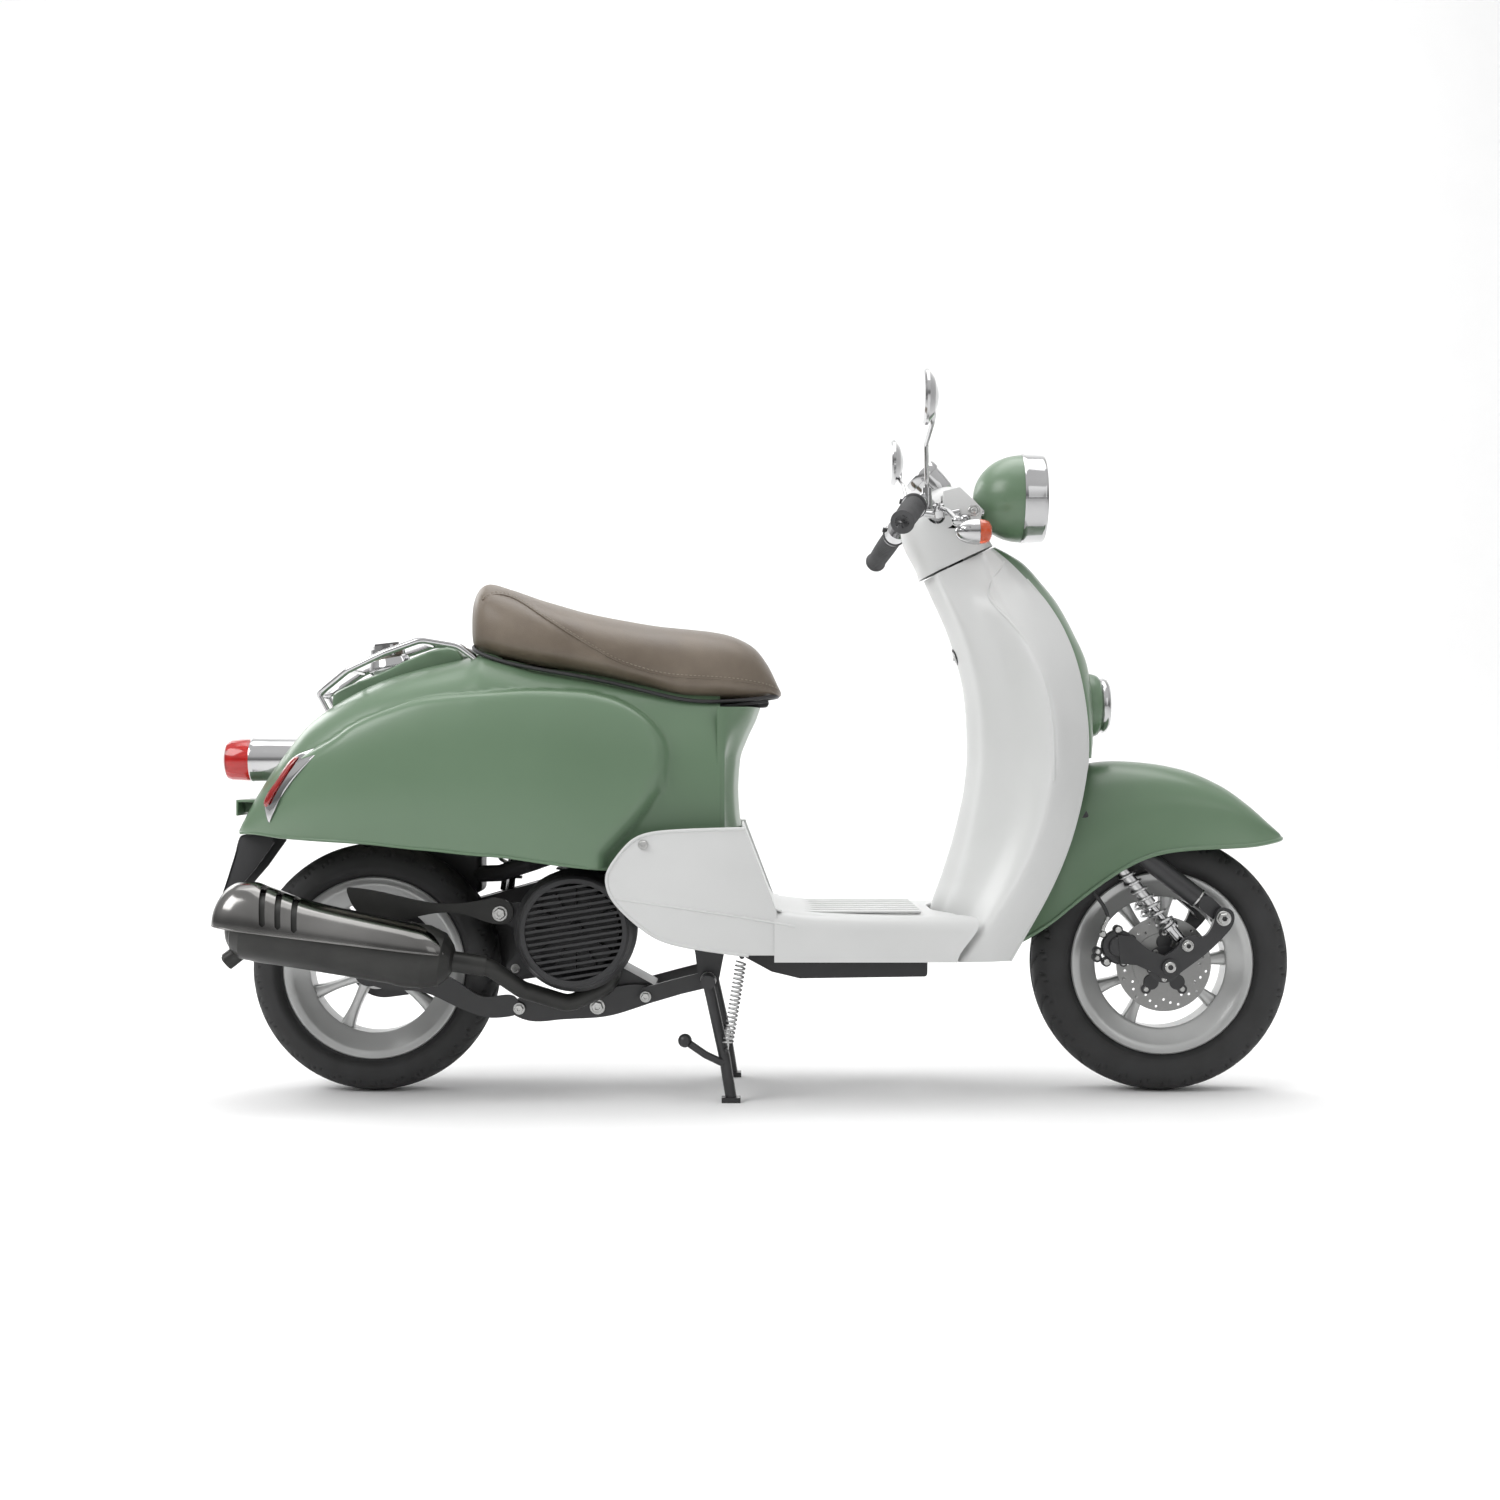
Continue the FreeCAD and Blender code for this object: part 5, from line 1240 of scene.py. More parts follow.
    def stitches(self, name: str, line: Sequence[Point], sign: int) -> bpy.types.Object:
        """Returns a row of short threads just above a seam.

        Args:
            name: the piece's name.
            line: the seam.
            sign: the side, -1 or 1.

        Returns:
            The joined threads.
        """
        pieces = []
        for a, b in zip(line, line[1:]):
            start, end = Vector(a), Vector(b)
            count = max(int((end - start).length / 6.5), 1)
            for i in range(count):
                middle = start.lerp(end, (i + 0.5) / count) + Vector((0, sign * 0.9, 3.6))
                along = (end - start).normalized() * 1.9
                pieces.append((middle - along, middle + along))
        bpy.ops.mesh.primitive_cylinder_add(vertices=6, radius=0.45 * MM, depth=3.8 * MM)
        master = bpy.context.view_layer.objects.active
        threads = []
        for a, b in pieces:
            middle = (a + b) / 2
            inset = Vector((middle.x, sign * (self.half_at(middle.x, middle.z) - 0.2), middle.z))
            threads.append(copy_at(master, inset, b - a))
        remove(master)
        return smooth(join(name, threads))

    def lower_edge(self) -> list[tuple[float, float, float]]:
        """Returns the loop of the moulded trim under the cushion."""
        right = [(row[0], -row[5] - 5, row[4] + 2) for row in self.rows[1:-1]]
        left = [(x, -y, z) for x, y, z in reversed(right)]
        return right + left


@dataclass
class Fender:
    """The front mudguard with its rolled lip."""

    palette: Palette
    rows: list[Row] = field(default_factory=lambda: [
        (426, 262, 60, 254, 248, 60), (434, 310, 70, 272, 254, 70), (446, 352, 76, 290, 262, 78),
        (474, 448, 84, 330, 281, 86),
        (505, 512, 88, 370, 308, 90), (540, 536, 88, 400, 336, 91), (590, 541, 87, 430, 371, 91),
        (640, 538, 86, 450, 394, 90), (700, 527, 84, 458, 401, 89), (760, 502, 80, 455, 403, 86),
        (805, 470, 72, 440, 405, 79), (838, 440, 58, 427, 411, 64), (856, 424, 40, 419, 414, 44),
        (863, 417, 8, 416, 415, 9),
    ])

    def build(self) -> None:
        """Builds the mudguard and its lip."""
        sections = [arch(row, 30, 2.35) for row in Table(self.rows).samples(110)]
        guard = skin("front_mudguard", sections)
        face_outwards(guard, (640, 0, 330))
        thicken(guard, 2.5)
        dress(smooth(guard, 40), self.palette.green, "steering", "green_paint", "front_fender")
        right = [(row[0] + (1 if i else 0), -row[5], row[4]) for i, row in enumerate(self.rows)]
        left = [(x, -y, z) for x, y, z in reversed(right[:-1])]
        lip = tube("front_mudguard_lip", right + left, 3.4, order=4)
        dress(smooth(lip), self.palette.green, "steering", "green_paint")


# ---- wheels -------------------------------------------------------------------------------------------
@dataclass
class Wheel:
    """One wheel: a grooved tyre on a cast rim with three split spokes."""

    palette: Palette
    name: str
    body: str
    tyre_radius: float
    half: float
    nodes: tuple[str, str]
    pitch_count: int = 34

    def centre(self) -> tuple[float, float, float]:
        """Returns the axle's place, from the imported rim."""
        low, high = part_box(self.nodes[1])
        return ((low[0] + high[0]) / 2 / MM, 0.0, (low[2] + high[2]) / 2 / MM)

    def build(self) -> None:
        """Builds the tyre, and the rim with its valve."""
        self.build_tyre()
        self.build_rim()

    def build_tyre(self) -> None:
        """Spins the tyre's section and presses the tread into it."""
        radius, half = self.tyre_radius, self.half
        outer = Table([(33.8, 139, 0), (34.5, 150, 0), (half - 5, 157, 0), (half, radius - 40, 0),
                       (half - 1, radius - 28, 0),
                       (half - 5, radius - 18, 0), (half * 0.72, radius - 8.4, 0),
                       (half * 0.36, radius - 1.8, 0), (0, radius - 0.1, 0)])
        side = [(y, r) for y, r, _ in outer.samples(30)]
        inner = [(0.0, radius - 12), (16, radius - 13), (half - 12, radius - 26), (half - 9, radius - 42),
                 (27, 138)]
        section = [(-y, r) for y, r in side] + [(y, r) for y, r in reversed(side[:-1])]
        loop = section + [(y, r) for y, r in reversed(inner)] + [(-y, r) for y, r in inner[1:]]
        tyre = lathe(f"{self.name}_tyre_body", loop + [loop[0]], self.centre(), (0, 1, 0), 680)
        self.press_tread(tyre)
        dress(smooth(tyre, 38), self.palette.tyre, self.body, "tyre_rubber", self.nodes[1])

    def press_tread(self, tyre: bpy.types.Object) -> None:
        """Presses slanted grooves and two rings into the tread, and pushes the grooves sideways on the
        shoulders.

        Args:
            tyre: the plain tyre.
        """
        middle = Vector(self.centre())
        pitch = 2 * math.pi / self.pitch_count
        for vertex in tyre.data.vertices:
            arm = vertex.co / MM - middle
            y, r = arm.y, math.hypot(arm.x, arm.z)
            along = abs(y) + max(self.tyre_radius - r, 0.0)
            if along > 78 or r < self.tyre_radius - 36:
                continue
            angle = math.atan2(arm.z, arm.x)
            lean = 0.0040 * min(along, 54) - 0.0100 * max(along - 54, 0)
            lean += 0.5 * pitch if y > 0 else 0.0
            phase = ((angle + lean) % pitch) / pitch
            slant = max(0.0, 1 - abs(phase - 0.5) * self.tyre_radius * pitch / 2.6)
            band = smoothstep(9, 12, along) * (1 - smoothstep(64, 68, along))
            wave = 1.5 * math.sin(angle * self.pitch_count)
            ring = 0.0
            if r > self.tyre_radius - 6:
                ring = max(0.0, 1 - abs(abs(y) - 4.5 - wave) / 2.0)
            depth = max(3.4 * min(slant * 1.7, 1.0) * band, 2.8 * min(ring * 1.5, 1.0))
            if r < self.tyre_radius - 14:
                vertex.co.y -= math.copysign(0.6 * depth * MM, y)
            flat = Vector((arm.x, 0, arm.z)).normalized()
            vertex.co -= flat * depth * MM

    def build_rim(self) -> None:
        """Builds the rim's barrel, hub and six spokes."""
        well = [(-38, 139), (-38.5, 147), (-37, 149), (-35, 148.5), (-34, 146), (-33.9, 137), (-25, 136.4),
                (-19, 119), (19, 119),
                (25, 136.4), (33.9, 137), (34, 146), (35, 148.5), (37, 149), (38.5, 147), (38, 139),
                (35, 133), (29, 127),
                (24, 112), (21, 107.5), (-21, 107.5), (-24, 112), (-29, 127), (-35, 133), (-38, 139)]
        barrel = lathe("barrel", well, self.centre(), (0, 1, 0), 128)
        hub = lathe("hub", [(-40, 8.2), (-40, 24), (-36, 30), (-20, 33), (-14, 37), (14, 37), (20, 33),
                            (36, 30), (40, 24), (40, 8.2)],
                    self.centre(), (0, 1, 0), 64)
        pieces = [barrel, hub]
        for middle in (-17, 103, 223):
            for offset in (-1, 1):
                pieces.append(self.spoke(math.radians(middle + offset * 9),
                                         math.radians(middle + offset * 20)))
        rim = join(f"{self.name}_rim_casting", pieces)
        dress(smooth(rim, 38), self.palette.rim, self.body, "cast_alloy", self.nodes[0])
        x, _, z = self.centre()
        stem = tube(f"{self.name}_valve", [(x + 100, 6, z + 32), (x + 92, 10, z + 29), (x + 78, 16, z + 25)],
                    3.2)
        dress(smooth(stem), self.palette.black, self.body, "black_plastic")

    def spoke(self, inner: float, outer: float) -> bpy.types.Object:
        """Returns one tapered spoke between two angles on the hub and the barrel.

        Args:
            inner: the angle on the hub, in radians.
            outer: the angle on the barrel, in radians.

        Returns:
            The spoke.
        """
        x, _, z = self.centre()
        root = Vector((x + 26 * math.cos(inner), 0, z + 26 * math.sin(inner)))
        tip = Vector((x + 111 * math.cos(outer), 0, z + 111 * math.sin(outer)))
        along = (tip - root).normalized()
        across = Vector((0, 1, 0)).cross(along)
        sections = []
        for i in range(9):
            share = i / 8
            wide = 10.5 - 3.0 * math.sin(math.pi * share) + 2.5 * share ** 4
            deep = 17 - 5 * share + 4 * share ** 6
            middle = root.lerp(tip, share)
            ring = []
            for k in range(24):
                angle = 2 * math.pi * k / 24
                c, s = math.cos(angle), math.sin(angle)
                u = wide * math.copysign(abs(c) ** 0.55, c)
                v = deep * math.copysign(abs(s) ** 0.55, s)
                ring.append(middle + across * u + Vector((0, v, 0)))
            sections.append(ring)
        return skin("spoke", sections, closed=True)


# ---- lamps and instruments ----------------------------------------------------------------------------
@dataclass
class HeadUnit:
    """The headlamp, the speedometer and the two bullet signals."""

    palette: Palette
    lamp_z: float = 973.5
    signal: tuple[float, float] = (125.0, 906.5)
    dial_base: tuple[float, float, float] = (312.0, 0.0, 973.0)
    cheek: list[tuple[float, float]] = field(default_factory=lambda: [
        (303, 979), (330, 986), (354, 963.5), (368, 948.5), (363.5, 933), (338, 920), (316.5, 932.5),
        (302, 949.5),
    ])

    def build(self) -> None:
        """Builds all of them."""
        self.build_headlamp()
        self.build_speedometer()
        for side in Side:
            self.build_signal(side)
            self.build_cheek(side)

    def build_cheek(self, side: Side) -> None:
        """Builds the pale plate over one side of the lamp's bracket, with its plated bolt."""
        name, sign = side.name.lower(), side.value
        plate = panel(f"lamp_cheek_{name}", self.cheek, sign * 57.4, sign * 63.6, 1.4)
        dress(smooth(plate, 40), self.palette.white, "steering", "white_panel")
        washer = lathe(f"lamp_bolt_{name}", [(0, 0.05), (0, 9.6), (2.2, 9.4), (3.0, 8.2), (3.0, 5.6),
                                             (6.2, 5.0), (6.8, 4.0), (6.8, 0.05)],
                       (353, sign * 63.4, 947), (0, sign, 0), 40)
        dress(smooth(washer, 40), self.palette.bolt, "steering", "bright_chrome")

    def build_headlamp(self) -> None:
        """Builds the bowl, the plated rim, the reflector, the bulb and the ribbed glass."""
        origin, axis = (0, 0, self.lamp_z), (1, 0, 0)
        bowl = [(436 - 78 * math.cos(a),
                 71.5 * math.sin(a)) for a in [math.pi / 2 * i / 22 for i in range(23)]]
        bowl[0] = (358, 0.05)
        shell = lathe("headlamp_bowl", bowl + [(440, 71.5), (440, 69), (430, 68.5)], origin, axis, 96)
        dress(smooth(shell, 50), self.palette.green, "steering", "green_paint", "headlamp_shell")
        rim = lathe("headlamp_ring", [(436, 69), (436, 73.2), (439, 74), (443, 72.6), (468, 71.6), (472, 71),
                                      (474, 69),
                                      (474.5, 66.5), (473, 64.5), (469, 63.2), (462, 63), (462, 69),
                                      (436, 69)], origin, axis, 96)
        dress(smooth(rim, 40), self.palette.chrome, "steering", "bright_chrome", "headlamp_rim")
        mirror = [(398 + (r / 62.5) ** 2 * 66, r) for r in (8, 14, 22, 30, 38, 46, 54, 60, 63.5)]
        reflector = lathe("headlamp_reflector", mirror, origin, axis, 72)
        dress(smooth(reflector, 60), self.palette.chrome, "steering", "bright_chrome")
        bulb = lathe("headlamp_bulb", [(398, 8), (410, 8), (412, 6), (424, 6.5), (430, 5), (433, 0.05)],
                     origin, axis, 32)
        dress(smooth(bulb, 40), self.palette.steel, "steering", "clear_lens")
        glass = [(464, 63.2), (467, 62), (470.5, 48), (473, 28), (474, 0.05), (471.5, 0.05), (470, 28),
                 (467, 48), (463, 61), (464, 63.2)]
        dress(smooth(lathe("headlamp_glass", glass, origin, axis, 96), 60), self.palette.glass, "steering",
              "clear_lens")

    def build_speedometer(self) -> None:
        """Builds the instrument's can, bezel, dial, ticks, needle and glass."""
        axis = Vector((-1, 0, 1)).normalized()
        base = Vector(self.dial_base)
        can = [(0, 0.05), (0, 17), (4, 21), (12, 25), (30, 27), (50, 27.6), (50, 0.05)]
        dress(smooth(lathe("speedometer_can", can, base, axis, 64), 35), self.palette.chrome, "steering",
              "bright_chrome", "speedometer")
        bezel = [(46, 27.5), (46.5, 29.6), (50, 30.4), (57, 30.2), (60.5, 28.6), (61, 26.4), (59, 25.2),
                 (54, 25), (54, 27.5), (46, 27.5)]
        dress(smooth(lathe("speedometer_bezel", bezel, base, axis, 64), 40), self.palette.chrome, "steering",
              "bright_chrome")
        dress(lathe("speedometer_dial", [(54.5, 0.05), (54.5, 25.2)], base, axis, 48), self.palette.dial,
              "steering", "black_plastic")
        along = Vector((0, 1, 0))
        up = axis.cross(along).normalized()
        ticks = []
        master = slab("tick_master", (-0.45, -2.0, 0), (0.45, 2.0, 0.5))
        for i in range(25):
            angle = math.radians(-130 + 260 * i / 24)
            outward = up * math.cos(angle) + along * math.sin(angle)
            tick = copy_at(master, (0, 0, 0), (0, 0, 1))
            side = outward.cross(axis)
            reach = 21.0 if i % 4 else 19.5
            turn = Matrix((side, outward * (1.0 if i % 4 else 1.7), axis)).transposed().to_4x4()
            tick.data.transform(Matrix.Translation((base + axis * 54.7 + outward * reach) * MM) @ turn)
            ticks.append(tick)
        remove(master)
        dress(join("speedometer_ticks", ticks), self.palette.white, "steering", "black_plastic")
        lean = up * math.cos(math.radians(-118)) + along * math.sin(math.radians(-118))
        needle = tube("speedometer_needle", [base + axis * 56 - lean * 5, base + axis * 56,
                                             base + axis * 56 + lean * 17], 0.7)
        dress(smooth(needle), self.palette.red, "steering", "black_plastic")
        boss = lathe("speedometer_boss", [(54.6, 3.2), (57, 3.0), (57.6, 0.05)], base, axis, 24)
        dress(smooth(boss), self.palette.black, "steering", "black_plastic")
        pane = lathe("speedometer_glass", [(58.4, 25.2), (59.2, 18), (59.6, 0.05), (58.4, 0.05), (58, 18),
                                           (57.4, 25.2), (58.4, 25.2)],
                     base, axis, 48)
        dress(smooth(pane, 60), self.palette.cover_glass, "steering", "clear_lens")

    def build_signal(self, side: Side) -> None:
        """Builds one plated bullet with its coloured nose and its stalk."""
        name = side.name.lower()
        y, z = self.signal
        origin, axis = (0, y * side.value, z), (1, 0, 0)
        bullet = [(316 + 34 * (1 - math.cos(a)),
                   20.5 * math.sin(a)) for a in [math.pi / 2 * i / 14 for i in range(15)]]
        bullet[0] = (316, 0.05)
        shell = bullet + [(354, 20.8), (355, 19.8), (353, 18.6), (340, 18)]
        dress(smooth(lathe(f"signal_bullet_{name}", shell, origin, axis, 64), 45), self.palette.chrome,
              "steering", "bright_chrome",
              "front_signals")
        nose = [(352, 18.4), (355, 19.6), (362, 19.4), (370, 16.5), (374, 10), (375, 0.05), (352, 0.05)]
        dress(smooth(lathe(f"signal_lens_{name}", nose, origin, axis, 64), 45), self.palette.amber,
              "steering", "amber_lens")
        sign = side.value
        stalk = tube(f"signal_stalk_{name}", [(338, sign * 58, 932), (338, sign * 80, 926),
                                              (338, sign * 98, 914), (338, sign * 108, 909)], 6.0)
        dress(smooth(stalk), self.palette.chrome, "steering", "bright_chrome")
        collar = lathe(f"signal_collar_{name}", [(0, 6), (0, 10), (4, 10.5), (8, 8.5), (10, 6)],
                       (338, sign * 60, 932), (0, sign, -0.25), 32)
        dress(smooth(collar, 50), self.palette.chrome, "steering", "bright_chrome")


@dataclass
class TailUnit:
    """The barrel tail lamp, the flank lamps, the plate bracket and the splash strip."""

    palette: Palette
    body: BodyShell
    lamp_z: float = 542.5
    insert: list[tuple[float, float]] = field(default_factory=lambda: [
        (-674, 574), (-706, 562), (-739, 548), (-765, 512), (-790, 475), (-787, 459), (-780, 441),
        (-770, 457), (-759, 477),
        (-736, 508), (-704, 542), (-687, 559),
    ])
    strip: list[tuple[float, float]] = field(default_factory=lambda: [
        (-727, 549), (-733, 549.5), (-740, 546), (-765, 511), (-789, 476), (-790, 471), (-784, 467),
        (-770, 486), (-750, 515),
    ])

    def surface(self, x: float, z: float) -> float:
        """Returns the tail's half width at a place in the side view.

        Args:
            x: the place.
            z: the place.

        Returns:
            The half width.
        """
        row = self.body.table.at(x)
        _, top, half, widest, bottom, foot = row
        if z >= widest:
            rise = min((z - widest) / max(top - widest, 1.0), 0.995)
            y = half * (1 - rise ** self.body.roundness) ** (1 / self.body.roundness)
        else:
            y = half + (foot - half) * ((widest - z) / max(widest - bottom, 1.0)) ** 2
        return self.body.swell((x, y, z), row).y

    def patch(self, name: str, outline: Sequence[tuple[float, float]], sign: int, lift: float,
              crown: float) -> bpy.types.Object:
        """Returns a crowned patch laid on the tail's flank.

        Args:
            name: the piece's name.
            outline: its x and z points.
            sign: the side, -1 or 1.
            lift: how far its rim stands off.
            crown: how much more its middle does.

        Returns:
            The patch.
        """
        rim = Table([(x, z, 0) for x, z in list(outline) + [outline[0]]]).samples(49)[:-1]
        cx = sum(p[0] for p in rim) / len(rim)
        cz = sum(p[1] for p in rim) / len(rim)
        rings = []
        for share, rise in ((1.0, -2.0), (0.985, 0.0), (0.93, 0.55), (0.82, 0.8), (0.6, 0.95), (0.3, 1.0),
                            (0.02, 1.0)):
            ring = []
            for px, pz, _ in rim:
                x, z = cx + (px - cx) * share, cz + (pz - cz) * share
                ring.append((x, sign * (self.surface(x, z) + lift + crown * rise), z))
            rings.append(ring)
        return skin(name, rings, closed=True)

    def build(self) -> None:
        """Builds all of them."""
        origin, axis = (0, 0, self.lamp_z), (-1, 0, 0)
        barrel = [(736, 31), (742, 33.5), (760, 34.6), (800, 35), (824, 35.4), (829, 36.2), (831, 35.6),
                  (831, 33), (820, 32)]
        dress(smooth(lathe("tail_lamp_barrel", barrel, origin, axis, 72), 40), self.palette.chrome, "chassis",
              "bright_chrome",
              "rear_lamp_housings")
        lens = [(826, 33), (831, 34.2), (838, 34.4), (862, 33.6), (870, 30.5), (873.5, 24), (874, 0.05),
                (826, 0.05)]
        dress(smooth(lathe("tail_lamp_lens", lens, origin, axis, 72), 40), self.palette.red, "chassis",
              "red_lens", "rear_lamp_lenses")
        for side in Side:
            name = side.name.lower()
            insert = self.patch(f"flank_lamp_{name}", self.insert, side.value, 0.6, 4.0)
            dress(smooth(insert, 50), self.palette.chrome, "chassis", "bright_chrome")
            strip = self.patch(f"flank_lens_{name}", self.strip, side.value, 3.6, 5.0)
            dress(smooth(strip, 50), self.palette.red, "chassis", "red_lens")
        self.build_plate_bracket()

    def build_plate_bracket(self) -> None:
        """Builds the number plate's bracket and the splash strip below it."""
        bolt = lathe("bolt", [(0, 7), (3, 7), (4, 6), (4, 3.4), (1.5, 3.2), (1.5, 0.05)], (0, 0, 0),
                     (0, 0, 1), 6)
        face = slab("face", (-846, -52, 452), (-842.5, 52, 478), 1.2)
        shelf = slab("shelf", (-845, -52, 474), (-806, 52, 478), 1.2)
        gusset = slab("gusset", (-845, -9, 456), (-812, 9, 477), 1.5)
        dress(smooth(join("plate_bracket", [face, shelf, gusset])), self.palette.green, "chassis",
              "green_paint", "rear_mudguard")
        bolts = join("plate_bolts", [copy_at(bolt, (-846, y, 465), (-1, 0, 0)) for y in (-30, 30)])
        remove(bolt)
        dress(bolts, self.palette.steel, "chassis", "zinc_steel")
        rows = [(-806, 424), (-838, 420), (-850, 385), (-861, 350), (-869, 326)]
        line = Table([(x, z, 0) for x, z in rows]).samples(24)
        sections = [[(x, y, z) for y in (-47, -44, -20, 0, 20, 44, 47)] for x, z, _ in line]
        strip = skin("splash_strip", sections)
        face_outwards(strip, (-760, 0, 390))
        thicken(strip, 3)
        flange_outline = [(-792, 420), (-838, 420), (-850, 385), (-861, 350), (-868, 328), (-846, 330),
                          (-815, 366), (-785, 408)]
        flanges = [panel(f"flange{side.value}", flange_outline, side.value * 43, side.value * 47,
                         1.0) for side in Side]
        dress(smooth(join("splash_guard", [strip] + flanges)), self.palette.black, "chassis", "black_plastic")


@dataclass
class Muffler:
    """The silencer: a black can, a plated slotted shield over it, its outlet and its inlet collar."""

    palette: Palette
    y: float = -180.0
    can: list[Row] = field(default_factory=lambda: [
        (-830, 287, 276, 6), (-827, 300, 258, 22), (-817, 318, 243, 36), (-801, 332, 233, 44),
        (-780, 336, 227, 48),
        (-740, 328, 221, 49), (-688, 313, 214, 49), (-592, 293, 199, 48), (-548, 283, 188, 47),
        (-520, 275, 187, 44),
        (-499, 264, 194, 37), (-485, 250, 206, 26), (-478, 238, 222, 10),
    ])
    cover: list[Row] = field(default_factory=lambda: [
        (-849, 287.0, 6, 14), (-845, 286.5, 26, 31), (-836, 285.5, 46, 43), (-822, 283.5, 63, 50),
        (-805, 281, 72, 53),
        (-784, 278.5, 74, 54.5), (-760, 275.5, 69, 55), (-725, 271, 61, 55), (-688, 266.5, 54, 54.5),
        (-600, 255.5, 46, 53),
        (-545, 248.5, 42, 52), (-515, 245, 38, 49), (-494, 242, 28, 41), (-482, 240.5, 16, 28),
        (-477, 240, 4, 12),
    ])

    def build(self) -> None:
        """Builds the can, the shield, the outlet and the clamp."""
        sections = []
        for x, top, bottom, half in Table(self.can).samples(70):
            middle, high = (top + bottom) / 2, (top - bottom) / 2
            ring = []
            for k in range(48):
                angle = 2 * math.pi * k / 48
                ring.append((x, self.y + half * math.cos(angle), middle + high * math.sin(angle)))
            sections.append(ring)
        can = skin("silencer_can", sections, closed=True)
        tip = tube("tip", [(-796, self.y, 252), (-815, self.y, 237), (-829, self.y, 226)], 12.5)
        # The dark plug at the outlet stands in for the open pipe: the soot-black of its inside and the
        # painted shade of its depth.
        bore = tube("bore", [(-826, self.y, 229), (-829.6, self.y, 225.6)], 10.0)
        dress(smooth(can, 60), self.palette.exhaust_black, "engine", "black_frame")
        dress(smooth(tip), self.palette.exhaust_black, "engine", "black_frame")
        dress(smooth(bore), self.palette.dial, "engine", "black_frame")
        self.build_shield()

    def build_shield(self) -> None:
        """Builds the plated shield with its rolled edge and three slots."""
        sections, left, right = [], [], []
        for x, seam, high, half in Table(self.cover).samples(96):
            section = []
            for k in range(41):
                angle = math.pi * k / 40
                c, s = math.cos(angle), math.sin(angle)
                section.append((x, self.y + half * math.copysign(abs(c) ** 0.9, c), seam + high * s ** 0.92))
            sections.append(section)
            left.append(section[0])
            right.append(section[-1])
        shield = skin("silencer_shield", sections)
        face_outwards(shield, (-660, self.y, 240))
        thicken(shield, 1.6)
        for top_x, bottom_x, foot in ((-768, -761, 286), (-744, -737, 282), (-719, -712, 277)):
            outline = [(top_x - 4.5, 370), (top_x + 4.5, 370), (bottom_x + 4.5, foot + 4), (bottom_x, foot),
                       (bottom_x - 4.5, foot + 4)]
            cutter = panel("cutter", outline, -260, -186)
            modify(shield, "BOOLEAN", operation="DIFFERENCE", object=cutter)
            remove(cutter)
        dress(smooth(shield, 40), self.palette.shield, "engine", "bright_chrome", "heat_shield")
        edge = tube("silencer_shield_edge", left[::4] + list(reversed(right[::4])), 1.5, closed=True, order=4)
        dress(smooth(edge), self.palette.shield, "engine", "bright_chrome")
        collar = tube("silencer_collar", [(-482, self.y + 2, 229), (-455, self.y + 3, 225),
                                          (-425, self.y + 6, 220)], 16.5)
        dress(smooth(collar), self.palette.exhaust_black, "engine", "black_frame")


# ---- controls -----------------------------------------------------------------------------------------
@dataclass
class Controls:
    """The two ribbed grips."""

    palette: Palette
    inner: tuple[float, float, float] = (243.7, 215.0, 936.8)
    outer: tuple[float, float, float] = (217.0, 335.0, 898.5)

    def build(self) -> None:
        """Builds the grips."""
        for side in Side:
            sign = side.value
            start = Vector((self.inner[0], sign * self.inner[1], self.inner[2]))
            end = Vector((self.outer[0], sign * self.outer[1], self.outer[2]))
            length = (end - start).length
            profile = [(0, 11.2), (0, 19), (1.5, 20.5), (4, 20.5), (6, 18)]
            for i in range(18):
                d = 10 + (length - 24) * i / 17
                r = 16.6 - 1.6 * i / 17 + 0.8 * math.sin(math.pi * i / 17)
                step = (length - 24) / 17
                profile += [(d, r), (d + 0.25 * step, r + 1.0), (d + 0.6 * step, r + 1.0),
                            (d + 0.85 * step, r)]
            profile += [(length - 5, 17.6), (length - 3, 18.4), (length - 1, 18.0), (length, 15),
                        (length, 0.05)]
            profile = sorted(profile[:5]) + profile[5:]
            grip = lathe(f"grip_{side.name.lower()}", profile, start, end - start, 56)
            if side is Side.LEFT:
                dress(smooth(grip, 30), self.palette.grip, "steering", "grip_rubber", "left_grip")
            else:
                dress(smooth(grip, 30), self.palette.grip, "throttle", "grip_rubber", "throttle_grip")


# ---- fasteners and running gear -----------------------------------------------------------------------
class Head(Enum):
    """The kinds of bolt head."""

    HEX = 6
    SOCKET = 40


DISC_CENTRE = (663.0, 211.0)


def round_disc(radius: float, degrees: float) -> tuple[float, float]:
    """Returns the x and z of a place around the front wheel's axle."""
    angle = math.radians(degrees)
    return DISC_CENTRE[0] + radius * math.cos(angle), DISC_CENTRE[1] + radius * math.sin(angle)


@dataclass(frozen=True)
class Bolt:
    """One visible bolt: where its head stands, how wide it is, and what it rides on."""

    x: float
    z: float
    y: float
    radius: float
    body: str
    head: Head = Head.HEX


